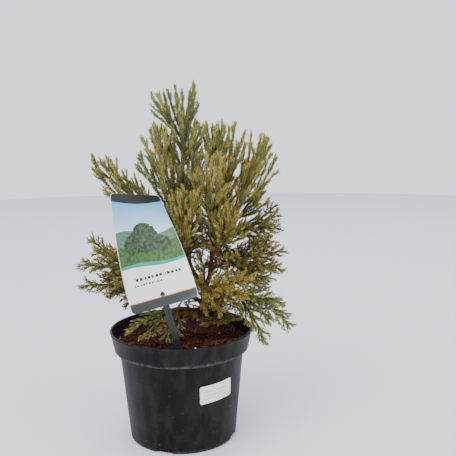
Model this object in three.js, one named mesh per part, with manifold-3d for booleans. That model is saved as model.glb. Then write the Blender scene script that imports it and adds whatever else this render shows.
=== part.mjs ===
// A young giant sequoia in its round nursery pot, with the plant label stuck in the soil.
// Millimetres, +Z up. The origin is at the centre of the pot's flat underside, and -Y is the front.
// Bearings are degrees round the plant, 0 at +X and 90 at the back; rises are degrees above level.
import * as THREE from "three";
import { mergeVertices } from "three/addons/utils/BufferGeometryUtils.js";
import Module from "manifold-3d";

const wasm = await Module();
wasm.setup();

// The clear gap that touching pieces keep, and the room that twigs of different masses leave
const SEAT_GAP = 0.3;
const TWIG_ROOM = 0.5;

// Nursery pot: a tapered body under a deep collar with a rolled rim
const POT = {
  height: 147,
  rimRadius: 95,
  collarTopRadius: 94.2,
  collarFootRadius: 89.5,
  collarFootHeight: 121.5,
  bodyTopRadius: 82.5,
  bodyTopHeight: 117,
  footRadius: 71.4,
  footRounding: 2.2,
  wall: 1.6,
  floor: 2,
  rimDrop: 2,
  rimDepth: 4,
  twigRoom: 2,
  sides: 40,
};
const NOTCH = { count: 4, bearing: 251.4, width: 22, height: 4.5, depth: 6 };

// Potting soil, filled to a little below the rim
const SOIL = { top: 133, edgeDrop: 1.8, shoulder: 12 };

// Plant label: a thin printed panel on a spike, turned as it rises
const LABEL = {
  foot: [-13.3, -76, 197],
  head: [-46.3, -75, 334],
  width: 84,
  footTilt: 15.4,
  headTilt: -7,
  twist: 54,
  twistPower: 0.75,
  thickness: 0.8,
  cornerRadius: 5,
  cornerShare: 0.035,
  cornerRows: 2,
  columns: 6,
  rows: 9,
  roomRows: 24,
  roomRadius: 3,
};
const LABEL_HOLE = { radius: 1.6, height: 15, depth: 3, sides: 8 };
const SPIKE = {
  top: [-13.9, -74.9, 201],
  foot: [9, -66, 102],
  width: 8,
  tipLength: 18,
  thickness: 1.4,
  roomRadius: 4.5,
};

// Price label, wrapped on the pot's wall
const PRICE_LABEL = {
  bearing: 306.8,
  height: 80.7,
  width: 48,
  depth: 24,
  tilt: 3.4,
  thickness: 0.35,
  columns: 8,
};

// Trunk and second stem: points on the axis with the radius there
const TRUNK = {
  sides: 10,
  steps: 2,
  flare: { height: 15, radius: 4.2, lobes: 5, lobeDepth: 0.16, shares: [0, 0.12, 0.3, 0.6] },
  keys: [
    [25, 20, SOIL.top + SEAT_GAP, 5.4],
    [27, 20, 160, 4.8],
    [30, 20, 194, 4.5],
    [19, 17, 213, 3.6],
    [10, 15, 238, 3.1],
    [10, 10, 283, 2.8],
    [5, 4, 344, 2.2],
    [8, 0, 398, 1.5],
  ],
};
const SECOND_STEM = {
  sides: 8,
  steps: 2,
  keys: [
    [29.5, 20, 190, 3.6],
    [38, 20, 212, 3.2],
    [42, 19, 248, 2.9],
    [43, 14, 300, 2.2],
    [44, 12, 332, 1.6],
  ],
};

// Boughs: radii at root and fork, the even steps from the stem to the fork, and how many are bare.
// The bare steps are the bough, and the mass's stem takes the rest.
const BOUGH = {
  rootRadius: 1.9,
  radiusPerLength: 0.012,
  tipRadius: 1.8,
  sides: 5,
  steps: 5,
  bareSteps: 2,
};

// Main twigs: each sets out along its stem, keeps that way for a share of its reach and turns to its
// tip, and the later ones part from the stem a stagger apart, carrying on some of its direction
const MAIN_TWIG = {
  rootRadius: 2.1,
  tipRadius: 1.5,
  sides: 3,
  steps: 4,
  leadIn: 0.42,
  stagger: 7,
  carry: 0.4,
};

// Side twigs: where they stand on a main twig, how they taper and bend, and how much shorter each
// further try is where one has no room. The scatters are full spreads, in degrees or as a share.
const SIDE_TWIG = {
  first: 0.12,
  last: 0.86,
  spacing: 11.5,
  placeScatter: 0.3,
  rootRadius: 0.8,
  radius: 1.6,
  shortest: 12,
  longest: 46,
  tipLength: 6,
  lengthScatter: 0.5,
  rootShare: 0.5,
  shareGrowth: 2,
  angleScatter: 10,
  rankScatter: 50,
  spiralScatter: 40,
  elbow: 0.45,
  carry: 0.45,
  tries: 3,
  shortening: 0.22,
};
const GOLDEN_ANGLE = 137.508;

// The sprays of needles that stand out of the twigs as teeth
const TOOTH = { place: 0.75, placeScatter: 0.2, reach: 5.6, reachScatter: 0.4, forward: 4.2, radius: 0.6 };

// What sets the numbers of side twigs and teeth apart from those of main twigs
const SIDE_TWIG_NUMBERS = 100;
const TOOTH_NUMBERS = 1000;

// How much flatter than its first twig a mass that sits on a stem starts
const ON_STEM_LEAN = 35;

// Nearer to upright than this, a direction's side is measured from +X
const UPRIGHT = 0.95;

// How the side twigs stand on upright plumes and on the low, flatter sprays
const HABITS = {
  plume: { angle: 34, angleFall: 12, reach: 0.68, lift: 0.3, flat: 0 },
  spray: { angle: 44, angleFall: 8, reach: 0.6, lift: -0.06, flat: 1 },
};

// The crown: each mass leaves its stem at a height, on a bough of a bearing, rise and length that
// bends up over its length to a fork, where its main twigs part, each a bearing, a rise and a length.
const CROWN = [
  {
    name: "leader_top", stem: "trunk", habit: "plume",
    twigs: [[346, 76, 73], [197, 53, 71], [150, 70, 69], [60, 66, 52]],
  },
  {
    name: "leader_back", stem: "trunk", height: 362, habit: "plume",
    twigs: [[20, 66, 48], [75, 60, 42]],
  },
  {
    name: "leader_front", stem: "trunk", height: 330, habit: "plume",
    twigs: [[240, 60, 44], [300, 54, 46]],
  },
  {
    name: "upper_left", stem: "trunk", height: 294, bearing: 206, rise: 58, bough: 40, bend: 20,
    habit: "plume",
    twigs: [[173, 62, 83], [230, 72, 94], [107, 80, 83]],
  },
  {
    name: "back_left", stem: "trunk", height: 306, bearing: 140, rise: 50, bough: 42, bend: 20,
    habit: "plume",
    twigs: [[150, 66, 80], [112, 74, 86], [165, 50, 52]],
  },
  {
    name: "mid_left", stem: "trunk", height: 281, bearing: 225, rise: 43, bough: 49, bend: 20,
    habit: "plume",
    twigs: [[204, 62, 77], [244, 60, 79]],
  },
  {
    name: "far_left", stem: "trunk", height: 257, bearing: 190, rise: 40, bough: 92, bend: -70,
    habit: "plume",
    twigs: [[190, 38, 73], [180, 53, 79], [152, 52, 58], [130, 66, 42], [60, 58, 32]],
  },
  {
    name: "back_middle", stem: "trunk", height: 268, bearing: 95, rise: 44, bough: 55, bend: 24,
    habit: "plume",
    twigs: [[80, 62, 88], [115, 58, 82], [60, 42, 60]],
  },
  {
    name: "front_centre", stem: "trunk", height: 246, bearing: 267, rise: 41, bough: 51, bend: 20,
    habit: "plume",
    twigs: [[156, 41, 38], [259, 66, 62], [298, 43, 57], [285, -7, 36]],
  },
  {
    name: "back_centre", stem: "trunk", height: 236, bearing: 118, rise: 34, bough: 46, bend: 14,
    habit: "plume",
    twigs: [[112, 38, 74], [140, 24, 66], [92, 54, 60]],
  },
  {
    name: "upper_right", stem: "second_stem", habit: "plume",
    twigs: [[234, 79, 88], [86, 80, 88], [332, 79, 90]],
  },
  {
    name: "right_upper", stem: "second_stem", height: 293, bearing: 320, rise: 62, bough: 40, bend: 20,
    habit: "plume",
    twigs: [[344, 79, 95], [315, 62, 75]],
  },
  {
    name: "back_right", stem: "second_stem", height: 284, bearing: 62, rise: 46, bough: 50, bend: 22,
    habit: "plume",
    twigs: [[40, 62, 88], [80, 66, 85], [100, 45, 55]],
  },
  {
    name: "front_upper", stem: "second_stem", height: 275, bearing: 266, rise: 38, bough: 53, bend: 24,
    habit: "plume",
    twigs: [[264, 75, 77], [307, 66, 77], [234, 54, 63]],
  },
  {
    name: "right_outer", stem: "second_stem", height: 267, bearing: 338, rise: 50, bough: 52, bend: 20,
    habit: "plume",
    twigs: [[331, 69, 86], [18, 62, 105], [350, 60, 98]],
  },
  {
    name: "right_far", stem: "second_stem", height: 257, bearing: 355, rise: 45, bough: 54, bend: 18,
    habit: "plume",
    twigs: [[354, 57, 94], [324, 40, 56], [281, 36, 76]],
  },
  {
    name: "right_side", stem: "second_stem", height: 247, bearing: 349, rise: 33, bough: 58, bend: 0,
    bareSteps: 3, habit: "spray",
    twigs: [[346, 39, 54], [12, -4, 50]],
  },
  {
    name: "right_front", stem: "second_stem", height: 238.5, bearing: 290, rise: 36, bough: 52, bend: 10,
    habit: "plume",
    twigs: [[257, 16, 45], [296, 25, 52], [329, -10, 39]],
  },
  {
    name: "back_low_middle", stem: "second_stem", height: 230, bearing: 88, rise: 22, bough: 56, bend: 10,
    habit: "spray",
    twigs: [[84, 18, 86], [110, 14, 72], [62, 30, 70]],
  },
  {
    name: "right_low", stem: "second_stem", height: 222, bearing: 334, rise: 23, bough: 37, bend: 0,
    habit: "spray",
    twigs: [[352, 10, 74], [4, -13, 74], [320, 26, 78]],
  },
  {
    name: "back_low_left", stem: "trunk", height: 208, bearing: 135, rise: 24, bough: 62, bend: 10,
    habit: "spray",
    twigs: [[128, 16, 80], [158, 18, 72], [100, 34, 66]],
  },
  {
    name: "low_left_upper", stem: "trunk", height: 199, bearing: 194, rise: 17, bough: 89, bend: 0,
    bareSteps: 3, habit: "spray",
    twigs: [[171, 35, 82], [191, 9, 82]],
  },
  {
    name: "low_right_front", stem: "trunk", height: 189.5, bearing: 292, rise: 24, bough: 41, bend: -10,
    habit: "spray",
    twigs: [[341, 17, 63], [320, -6, 62], [289, 11, 61]],
  },
  {
    name: "back_low_right", stem: "trunk", height: 182, bearing: 48, rise: 16, bough: 55, bend: 0,
    habit: "spray",
    twigs: [[36, 2, 84], [64, 10, 80], [20, 18, 60]],
  },
  {
    name: "low_left_lower", stem: "trunk", height: 175, bearing: 204, rise: 22, bough: 80, bend: -20,
    bareSteps: 3, habit: "spray",
    twigs: [[186, 3, 94], [210, -1, 69]],
  },
  {
    name: "droop_right", stem: "trunk", height: 167, bearing: 339, rise: 24, bough: 60, bend: -30,
    bareSteps: 3, habit: "spray",
    twigs: [[348, -34, 86], [310, -49, 80], [13, -16, 69]],
  },
  {
    name: "pot_front_left", stem: "trunk", height: 158.5, bearing: 231, rise: 19, bough: 62, bend: -30,
    bareSteps: 3, habit: "spray",
    twigs: [[207, -21, 71], [225, -29, 62], [261, -43, 51]],
  },
  {
    name: "pot_front_right", stem: "trunk", height: 150, bearing: 298, rise: 16, bough: 33, bend: -20,
    habit: "spray",
    twigs: [[248, -7, 40], [298, 0, 36], [332, 7, 47]],
  },
];

// Finishes
const FINISHES = {
  pot: { color: 0x1f2023, roughness: 0.45, metalness: 0 },
  soil: { color: 0x3a2117, roughness: 0.95, metalness: 0 },
  label: { color: 0xdfe3e2, roughness: 0.4, metalness: 0 },
  paper: { color: 0xf2f1ec, roughness: 0.6, metalness: 0 },
  bark: { color: 0x55291c, roughness: 0.85, metalness: 0 },
  bough: { color: 0x6a4a26, roughness: 0.8, metalness: 0 },
  foliage: { color: 0x6b7434, roughness: 0.7, metalness: 0 },
};

const UP = new THREE.Vector3(0, 0, 1);
const SIDE = new THREE.Vector3(1, 0, 0);
const radians = THREE.MathUtils.degToRad;

// Solids

// A closed geometry as a solid that can be joined and cut
function solidOf(geometry) {
  const bare = geometry.clone();
  bare.deleteAttribute("normal");
  bare.deleteAttribute("uv");
  const merged = mergeVertices(bare, 1e-4);
  const made = new wasm.Manifold(
    new wasm.Mesh({
      numProp: 3,
      vertProperties: new Float32Array(merged.attributes.position.array),
      triVerts: new Uint32Array(merged.index.array),
    }),
  );
  if (made.volume() <= 0) throw new Error("a solid has its faces turned inwards");
  return made;
}

// The largest single body of a solid, without loose scraps
function largestBody(solid) {
  const bodies = solid.decompose();
  return bodies.reduce((best, body) => (body.volume() > best.volume() ? body : best));
}

// A solid as a named mesh of one finish
function meshOf(solid, name, finish) {
  const { numProp, vertProperties, triVerts } = largestBody(solid).getMesh();
  if (numProp !== 3) throw new Error("a solid carries more than its points");
  const geometry = new THREE.BufferGeometry();
  geometry.setAttribute("position", new THREE.BufferAttribute(vertProperties, 3));
  geometry.setIndex(new THREE.BufferAttribute(triVerts, 1));
  const flat = geometry.toNonIndexed();
  flat.computeVertexNormals();
  const material = new THREE.MeshStandardMaterial({ ...FINISHES[finish], flatShading: true });
  const mesh = new THREE.Mesh(flat, material);
  mesh.name = name;
  return mesh;
}

// A closed body turned round the upright axis from [radius, height] points, which run down its outside
function turned(profile, sides) {
  const points = profile.map(([radius, height]) => new THREE.Vector2(radius, height));
  return solidOf(new THREE.LatheGeometry(points, sides).rotateX(Math.PI / 2));
}

// A box by its size, moved to its centre and turned to a bearing
function boxAt(size, centre, bearing = 0) {
  const box = new THREE.BoxGeometry(...size);
  return solidOf(box.rotateZ(radians(bearing)).translate(...centre));
}

// A thin sheet of rows and columns: place gives the point at a share across, a share up and a side
function sheet(columns, rows, place) {
  const points = [];
  const index = [];
  const width = columns + 1;
  const layer = width * (rows + 1);
  for (const side of [0, 1])
    for (let row = 0; row <= rows; row++)
      for (let column = 0; column <= columns; column++)
        points.push(...place(column / columns, row / rows, side).toArray());
  const quad = (a, b, c, d) => index.push(a, b, c, a, c, d);
  const at = (column, row, side) => side * layer + row * width + column;
  for (let row = 0; row < rows; row++)
    for (let column = 0; column < columns; column++) {
      quad(at(column, row, 0), at(column + 1, row, 0), at(column + 1, row + 1, 0), at(column, row + 1, 0));
      quad(at(column, row, 1), at(column, row + 1, 1), at(column + 1, row + 1, 1), at(column + 1, row, 1));
    }
  for (let column = 0; column < columns; column++) {
    quad(at(column, 0, 1), at(column + 1, 0, 1), at(column + 1, 0, 0), at(column, 0, 0));
    quad(at(column, rows, 0), at(column + 1, rows, 0), at(column + 1, rows, 1), at(column, rows, 1));
  }
  for (let row = 0; row < rows; row++) {
    quad(at(0, row, 0), at(0, row + 1, 0), at(0, row + 1, 1), at(0, row, 1));
    quad(at(columns, row, 1), at(columns, row + 1, 1), at(columns, row + 1, 0), at(columns, row, 0));
  }
  const geometry = new THREE.BufferGeometry();
  geometry.setAttribute("position", new THREE.Float32BufferAttribute(points, 3));
  geometry.setIndex(index);
  return solidOf(geometry);
}

// A closed limb through stations, each a point and a radius. A last radius of 0 closes in a point,
// level: true keeps the first ring level, and teeth, each the step and side it stands on and its tip,
// pull that stretch of the limb's edge out to a spike.
function limb(stations, sides, { level = false, lobes = 0, teeth = [] } = {}) {
  const index = [];
  const last = stations.length - 1;
  const points = limbRings(stations, sides, level, lobes).flat();
  const toothAt = new Map();
  for (const { step, side, tip } of teeth) {
    toothAt.set(step * sides + side, points.length);
    points.push(tip);
  }
  for (let step = 0; step < last; step++)
    for (let side = 0; side < sides; side++) {
      const a = step * sides + side;
      const b = step * sides + ((side + 1) % sides);
      const pointed = stations[step + 1].radius === 0;
      const c = pointed ? (step + 1) * sides : b + sides;
      const d = pointed ? c : a + sides;
      const own = toothAt.get(a);
      const next = toothAt.get(b);
      if (next) index.push(a, b, next, a, next, c);
      else index.push(a, b, c);
      if (own) index.push(a, c, own);
      if (own && !pointed) index.push(c, d, own);
      if (!own && !pointed) index.push(a, c, d);
    }
  for (let side = 1; side < sides - 1; side++) {
    index.push(0, side + 1, side);
    if (stations[last].radius > 0) index.push(last * sides, last * sides + side, last * sides + side + 1);
  }
  const geometry = new THREE.BufferGeometry().setFromPoints(points);
  geometry.setIndex(index);
  return solidOf(geometry);
}

// The ring of points round each station of a limb, turned as little as can be from one to the next
function limbRings(stations, sides, level, lobes) {
  const last = stations.length - 1;
  const across = new THREE.Vector3();
  return stations.map(({ at, radius, lobe = 0 }, step) => {
    const before = stations[Math.max(step - 1, 0)].at;
    const after = stations[Math.min(step + 1, last)].at;
    const along = step === 0 && level ? UP.clone() : after.clone().sub(before).normalize();
    if (step === 0) across.copy(Math.abs(along.z) < UPRIGHT ? UP : SIDE);
    across.addScaledVector(along, -across.dot(along)).normalize();
    const aside = along.clone().cross(across);
    return Array.from({ length: radius === 0 ? 1 : sides }, (_, side) => {
      const angle = (2 * Math.PI * side) / sides;
      const reach = radius * (1 + lobe * Math.cos(lobes * angle));
      const point = at.clone().addScaledVector(across, reach * Math.cos(angle));
      return point.addScaledVector(aside, reach * Math.sin(angle));
    });
  });
}

// Pot, soil and labels

// The wall's outer radius at a height below the collar
function bodyRadius(height) {
  return THREE.MathUtils.mapLinear(height, 0, POT.bodyTopHeight, POT.footRadius, POT.bodyTopRadius);
}

// The hollow inside the pot, drawn back from the wall by a gap, up to a height
function innerProfile(gap) {
  const inset = POT.wall + gap;
  return [
    [POT.collarTopRadius - inset, POT.height],
    [POT.collarFootRadius - inset, POT.collarFootHeight + gap],
    [POT.bodyTopRadius - inset, POT.bodyTopHeight + gap],
    [bodyRadius(POT.floor) - inset, POT.floor + gap],
    [0, POT.floor + gap],
  ];
}

function makePot() {
  const outside = [
    [0, 0],
    [POT.footRadius - POT.footRounding, 0],
    [bodyRadius(POT.footRounding), POT.footRounding],
    [POT.bodyTopRadius, POT.bodyTopHeight],
    [POT.collarFootRadius, POT.collarFootHeight],
    [POT.collarTopRadius, POT.height - POT.rimDepth],
    [POT.rimRadius, POT.height - POT.rimDrop],
    [POT.collarTopRadius, POT.height],
  ];
  let pot = turned([...outside, ...innerProfile(0)], POT.sides);
  for (let turn = 0; turn < NOTCH.count; turn++) {
    const bearing = NOTCH.bearing + (360 * turn) / NOTCH.count;
    const out = directionOf(bearing, 0).multiplyScalar(POT.footRadius - POT.floor);
    const size = [NOTCH.depth * 2, NOTCH.width, NOTCH.height * 2];
    pot = pot.subtract(boxAt(size, out.toArray(), bearing));
  }
  return pot;
}

// The soil fills the pot to just under the rim and dips a little towards the wall
function makeSoil(slot) {
  const inside = innerProfile(SEAT_GAP);
  const [upper, lower] = inside;
  const edge = SOIL.top - SOIL.edgeDrop;
  const edgeRadius = THREE.MathUtils.mapLinear(edge, lower[1], upper[1], lower[0], upper[0]);
  const top = [
    [0, SOIL.top],
    [edgeRadius - SOIL.shoulder, SOIL.top],
    [edgeRadius, edge],
  ];
  return turned([...top, ...inside.slice(1)].reverse(), POT.sides).subtract(slot);
}

const labelHeight = new THREE.Vector3(...LABEL.foot).distanceTo(new THREE.Vector3(...LABEL.head));

// A point of the label's panel, by shares across and up and the distance behind its face
function labelPoint(across, up, behind) {
  const turn = LABEL.twist * up ** LABEL.twistPower;
  const along = directionOf(turn, THREE.MathUtils.lerp(LABEL.footTilt, LABEL.headTilt, up));
  const back = directionOf(turn + 90, 0);
  const middle = new THREE.Vector3(...LABEL.foot).lerp(new THREE.Vector3(...LABEL.head), up);
  return middle.addScaledVector(along, (across - 0.5) * LABEL.width).addScaledVector(back, behind);
}

// How much of the panel's width is there at a share up, as its corners are round
function labelSpan(up) {
  const fromEdge = Math.min(up, 1 - up) * labelHeight;
  const radius = LABEL.cornerRadius;
  if (fromEdge >= radius) return 1;
  const cut = radius - Math.sqrt(radius ** 2 - (radius - fromEdge) ** 2);
  return 1 - (2 * cut) / LABEL.width;
}

// Panel rows lie close together at the round corners
function labelRow(share) {
  const corner = LABEL.cornerShare;
  const near = LABEL.cornerRows / LABEL.rows;
  if (share <= near) return (share / near) * corner;
  if (share >= 1 - near) return 1 - ((1 - share) / near) * corner;
  return THREE.MathUtils.mapLinear(share, near, 1 - near, corner, 1 - corner);
}

// The spike under the panel, grown by a gap where it cuts its slot in the soil
function makeSpike(gap) {
  const top = new THREE.Vector3(...SPIKE.top);
  const foot = new THREE.Vector3(...SPIKE.foot);
  const down = foot.clone().sub(top);
  const length = down.length();
  const half = SPIKE.width / 2 + gap;
  const outline = new THREE.Shape([
    new THREE.Vector2(-half, gap),
    new THREE.Vector2(-half, SPIKE.tipLength - length),
    new THREE.Vector2(0, -length - gap),
    new THREE.Vector2(half, SPIKE.tipLength - length),
    new THREE.Vector2(half, gap),
  ]);
  const depth = SPIKE.thickness + 2 * gap;
  const blade = new THREE.ExtrudeGeometry(outline, { depth, bevelEnabled: false }).translate(0, 0, -gap);
  const rise = down.clone().multiplyScalar(-1 / length);
  const aside = new THREE.Vector3(0, 1, 0).cross(rise).normalize();
  const frame = new THREE.Matrix4().makeBasis(aside, rise, aside.clone().cross(rise));
  return solidOf(blade.applyMatrix4(frame.setPosition(top)));
}

function makeLabel() {
  const panel = sheet(LABEL.columns, LABEL.rows, (across, share, side) => {
    const up = labelRow(share);
    const point = 0.5 + (across - 0.5) * labelSpan(up);
    return labelPoint(point, up, side * LABEL.thickness);
  });
  const centre = labelPoint(0.5, LABEL_HOLE.height / labelHeight, 0);
  const { radius, depth, sides } = LABEL_HOLE;
  const drill = new THREE.CylinderGeometry(radius, radius, depth, sides).translate(...centre.toArray());
  return panel.subtract(solidOf(drill)).add(makeSpike(0));
}

// The price label lies on the wall, with its long edges a little out of level
function makePriceLabel() {
  const tilt = radians(PRICE_LABEL.tilt);
  return sheet(PRICE_LABEL.columns, 1, (across, up, side) => {
    const along = (across - 0.5) * PRICE_LABEL.width;
    const rise = (up - 0.5) * PRICE_LABEL.depth;
    const height = PRICE_LABEL.height + rise * Math.cos(tilt) + along * Math.sin(tilt);
    const sweep = (along * Math.cos(tilt) - rise * Math.sin(tilt)) / bodyRadius(height);
    const radius = bodyRadius(height) + SEAT_GAP + (1 - side) * PRICE_LABEL.thickness;
    const angle = radians(PRICE_LABEL.bearing) + sweep;
    return new THREE.Vector3(radius * Math.cos(angle), radius * Math.sin(angle), height);
  });
}

// Growth

// A unit direction from a bearing and a rise
function directionOf(bearing, rise) {
  const level = Math.cos(radians(rise));
  const turn = radians(bearing);
  return new THREE.Vector3(level * Math.cos(turn), level * Math.sin(turn), Math.sin(radians(rise)));
}

// A stream of repeatable numbers from 0 to 1, named by the keys that lead to it
function numberStream(...keys) {
  const modulus = 2147483647;
  let state = 1;
  for (const key of keys) state = ((state * 31 + key + 7) * 48271) % modulus;
  return () => {
    state = (state * 16807) % modulus;
    return (state - 1) / (modulus - 1);
  };
}

// A direction that leans from along by an angle, towards a turn about it measured from a side
function leaningFrom(along, side, angle, turn) {
  const across = side.clone().addScaledVector(along, -side.dot(along)).normalize();
  const aside = along.clone().cross(across);
  const out = across.multiplyScalar(Math.cos(turn)).addScaledVector(aside, Math.sin(turn));
  return along.clone().multiplyScalar(Math.cos(angle)).addScaledVector(out, Math.sin(angle));
}

// Stations through a stem's keys on one smooth curve, with the roots' flare where it has one
function stemStations({ keys, steps, flare }) {
  const curve = new THREE.CatmullRomCurve3(keys.map(([x, y, z]) => new THREE.Vector3(x, y, z)));
  const spans = keys.length - 1;
  const ground = keys[0][2];
  const stations = [];
  const shares = flare ? [...flare.shares] : [];
  for (let step = shares.length ? steps : 0; step <= spans * steps; step++) shares.push(step / steps);
  for (const share of shares) {
    const key = Math.min(Math.floor(share), spans - 1);
    const at = curve.getPoint(share / spans);
    const flareShare = flare ? Math.max(0, 1 - (at.z - ground) / flare.height) ** 2 : 0;
    const radius = THREE.MathUtils.lerp(keys[key][3], keys[key + 1][3], share - key);
    stations.push({
      at,
      radius: radius + (flare ? flare.radius * flareShare : 0),
      lobe: flare ? flare.lobeDepth * flareShare : 0,
    });
  }
  return stations;
}

// The same stations with every radius grown by a gap
function grown(stations, gap) {
  return stations.map((station) => ({ ...station, radius: station.radius + gap }));
}

// The point of a stem's axis at a height
function pointAtHeight(stations, height) {
  const above = stations.findIndex(({ at }) => at.z >= height);
  const [low, high] = [stations[above - 1].at, stations[above].at];
  return low.clone().lerp(high, (height - low.z) / (high.z - low.z));
}

// Stations from a stem's axis to a mass's fork, which bend evenly over the length
function boughStations(start, { bearing, rise, bough, bend }) {
  const rootRadius = BOUGH.rootRadius + BOUGH.radiusPerLength * bough;
  const stations = [{ at: start.clone(), radius: rootRadius }];
  const at = start.clone();
  for (let step = 1; step <= BOUGH.steps; step++) {
    const middle = (step - 0.5) / BOUGH.steps;
    at.addScaledVector(directionOf(bearing, rise + bend * (middle - 0.5)), bough / BOUGH.steps);
    const radius = THREE.MathUtils.lerp(rootRadius, BOUGH.tipRadius, step / BOUGH.steps);
    stations.push({ at: at.clone(), radius });
  }
  return stations;
}

// Stations of a main twig from a root, along a first direction and round to its tip
function mainTwigStations(root, direction, tip) {
  const reach = root.distanceTo(tip) * MAIN_TWIG.leadIn;
  const curve = new THREE.QuadraticBezierCurve3(root, root.clone().addScaledVector(direction, reach), tip);
  return Array.from({ length: MAIN_TWIG.steps + 1 }, (_, step) => {
    const share = step / MAIN_TWIG.steps;
    const radius = share < 1 ? THREE.MathUtils.lerp(MAIN_TWIG.rootRadius, MAIN_TWIG.tipRadius, share) : 0;
    return { at: curve.getPoint(share), radius };
  });
}

// The room taken so far: rounded rods, each of one node and one twig of it
const taken = [];

function takeRoom(node, stations, twig = 0) {
  for (let step = 1; step < stations.length; step++) {
    const radius = Math.max(stations[step - 1].radius, stations[step].radius);
    taken.push({ node, twig, from: stations[step - 1].at, to: stations[step].at, radius });
  }
}

// The shortest distance between two straight rods' axes
function distanceBetween(a, b, c, d) {
  const u = b.clone().sub(a);
  const v = d.clone().sub(c);
  const w = a.clone().sub(c);
  const [uu, uv, vv, uw, vw] = [u.dot(u), u.dot(v), v.dot(v), u.dot(w), v.dot(w)];
  const spread = uu * vv - uv * uv;
  let s = spread > 1e-9 ? THREE.MathUtils.clamp((uv * vw - vv * uw) / spread, 0, 1) : 0;
  const t = THREE.MathUtils.clamp((uv * s + vw) / vv, 0, 1);
  s = THREE.MathUtils.clamp((uv * t - uw) / uu, 0, 1);
  return w.addScaledVector(u, s).addScaledVector(v, -t).length();
}

// Whether a point with room round it is clear of the soil and of the pot's wall and rim
function clearOfPot(point, room) {
  const outward = Math.hypot(point.x, point.y);
  if (point.z - room > POT.height) return true;
  const wallOutside = point.z > POT.collarFootHeight ? POT.rimRadius : POT.bodyTopRadius;
  if (outward - room > wallOutside) return true;
  const inner = POT.collarTopRadius - POT.wall - POT.twigRoom;
  return outward + room < inner && point.z - room > SOIL.top;
}

// What a twig's stations come too near: the pot, the node of another rod, or nothing.
// The twigs in joined, of the twig's own node, may meet it.
function blockerOf(node, stations, joined) {
  for (let step = 1; step < stations.length; step++) {
    const from = stations[step - 1].at;
    const to = stations[step].at;
    const radius = Math.max(stations[step - 1].radius, stations[step].radius);
    const reach = radius + TWIG_ROOM;
    if (!clearOfPot(to, reach) || !clearOfPot(from.clone().lerp(to, 0.5), reach)) return "pot";
    const rod = taken.find((other) => {
      if (other.node === node && joined(other.twig)) return false;
      return distanceBetween(from, to, other.from, other.to) < reach + other.radius;
    });
    if (rod) return rod.node;
  }
  return "";
}

// The main twigs of a mass. The first carries on from the mass's stem, and the others leave it one
// after another, a little before the fork. A mass without a stem has all of them at the fork.
function growMainTwigs(mass, stem, direction) {
  const fork = stem[stem.length - 1].at;
  const stagger = stem.length > 1 ? MAIN_TWIG.stagger : 0;
  return mass.twigs.map(([bearing, rise, length], order) => {
    const tip = fork.clone().addScaledVector(directionOf(bearing, rise), length);
    if (order === 0) {
      const stations = [...stem.slice(0, -1), ...mainTwigStations(fork, direction, tip)];
      return { twig: 1, length: lengthOf(stations), stations };
    }
    const root = fork.clone().addScaledVector(direction, -stagger * order);
    const parting = tip.clone().sub(root).normalize();
    parting.addScaledVector(direction, MAIN_TWIG.carry).normalize();
    const stations = mainTwigStations(root, parting, tip);
    stations[0].radius = SIDE_TWIG.rootRadius;
    return { twig: order + 1, length, stations };
  });
}

// The length of a twig along its stations
function lengthOf(stations) {
  return stations.slice(1).reduce((sum, { at }, step) => sum + at.distanceTo(stations[step].at), 0);
}

// The point and direction of a twig at a share of its length
function alongTwig(stations, share) {
  const place = share * (stations.length - 1);
  const step = Math.min(Math.floor(place), stations.length - 2);
  const [from, to] = [stations[step].at, stations[step + 1].at];
  return { at: from.clone().lerp(to, place - step), along: to.clone().sub(from).normalize() };
}

// A random number, from minus half of a spread to plus half
function scattered(random, spread) {
  return spread * (random() - 0.5);
}

// One side twig of a main twig, which bends up or droops to its habit
function sideTwig(mainTwig, habit, share, turnNumber, random) {
  const { at, along } = alongTwig(mainTwig.stations, share);
  const level = Math.abs(along.z) < UPRIGHT ? along.clone().cross(UP).normalize() : SIDE;
  const twoRanked = 180 * (turnNumber % 2) + scattered(random, SIDE_TWIG.rankScatter);
  const spiral = GOLDEN_ANGLE * turnNumber + scattered(random, SIDE_TWIG.spiralScatter);
  const turn = radians(habit.flat ? twoRanked : spiral);
  const lean = habit.angle - habit.angleFall * share + scattered(random, SIDE_TWIG.angleScatter);
  const vigour = habit.reach * (1 + scattered(random, SIDE_TWIG.lengthScatter));
  const full = (1 - share) * mainTwig.length * vigour + SIDE_TWIG.tipLength;
  const started = Math.min(1, SIDE_TWIG.rootShare + SIDE_TWIG.shareGrowth * share);
  const length = THREE.MathUtils.clamp(full * started, SIDE_TWIG.shortest, SIDE_TWIG.longest);
  const direction = leaningFrom(along, level, radians(lean), turn);
  const bent = direction.clone().addScaledVector(along, SIDE_TWIG.carry);
  return { at, direction, bent: bent.addScaledVector(UP, habit.lift).normalize(), length };
}

// A side twig's stations at a share of its length
function sideTwigStations({ at, direction, bent, length }, shorten) {
  const reach = length * shorten;
  const elbow = at.clone().addScaledVector(direction, reach * SIDE_TWIG.elbow);
  const tip = elbow.clone().addScaledVector(bent, reach * (1 - SIDE_TWIG.elbow));
  return [
    { at, radius: SIDE_TWIG.rootRadius },
    { at: elbow, radius: SIDE_TWIG.radius },
    { at: tip, radius: 0 },
  ];
}

// A side twig's stations at the longest try that has room, or nothing
function fittedSideTwig(mass, mainTwig, turnNumber, count) {
  const random = numberStream(mass.number, mainTwig.twig, turnNumber);
  const place = (turnNumber + SIDE_TWIG.placeScatter * random()) / count;
  const share = THREE.MathUtils.lerp(SIDE_TWIG.first, SIDE_TWIG.last, place);
  const shape = sideTwig(mainTwig, HABITS[mass.habit], share, turnNumber, random);
  for (let attempt = 0; attempt < SIDE_TWIG.tries; attempt++) {
    const stations = sideTwigStations(shape, 1 - SIDE_TWIG.shortening * attempt);
    if (!blockerOf(mass.name, stations, (twig) => twig === mainTwig.twig)) return stations;
  }
  return undefined;
}

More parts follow.
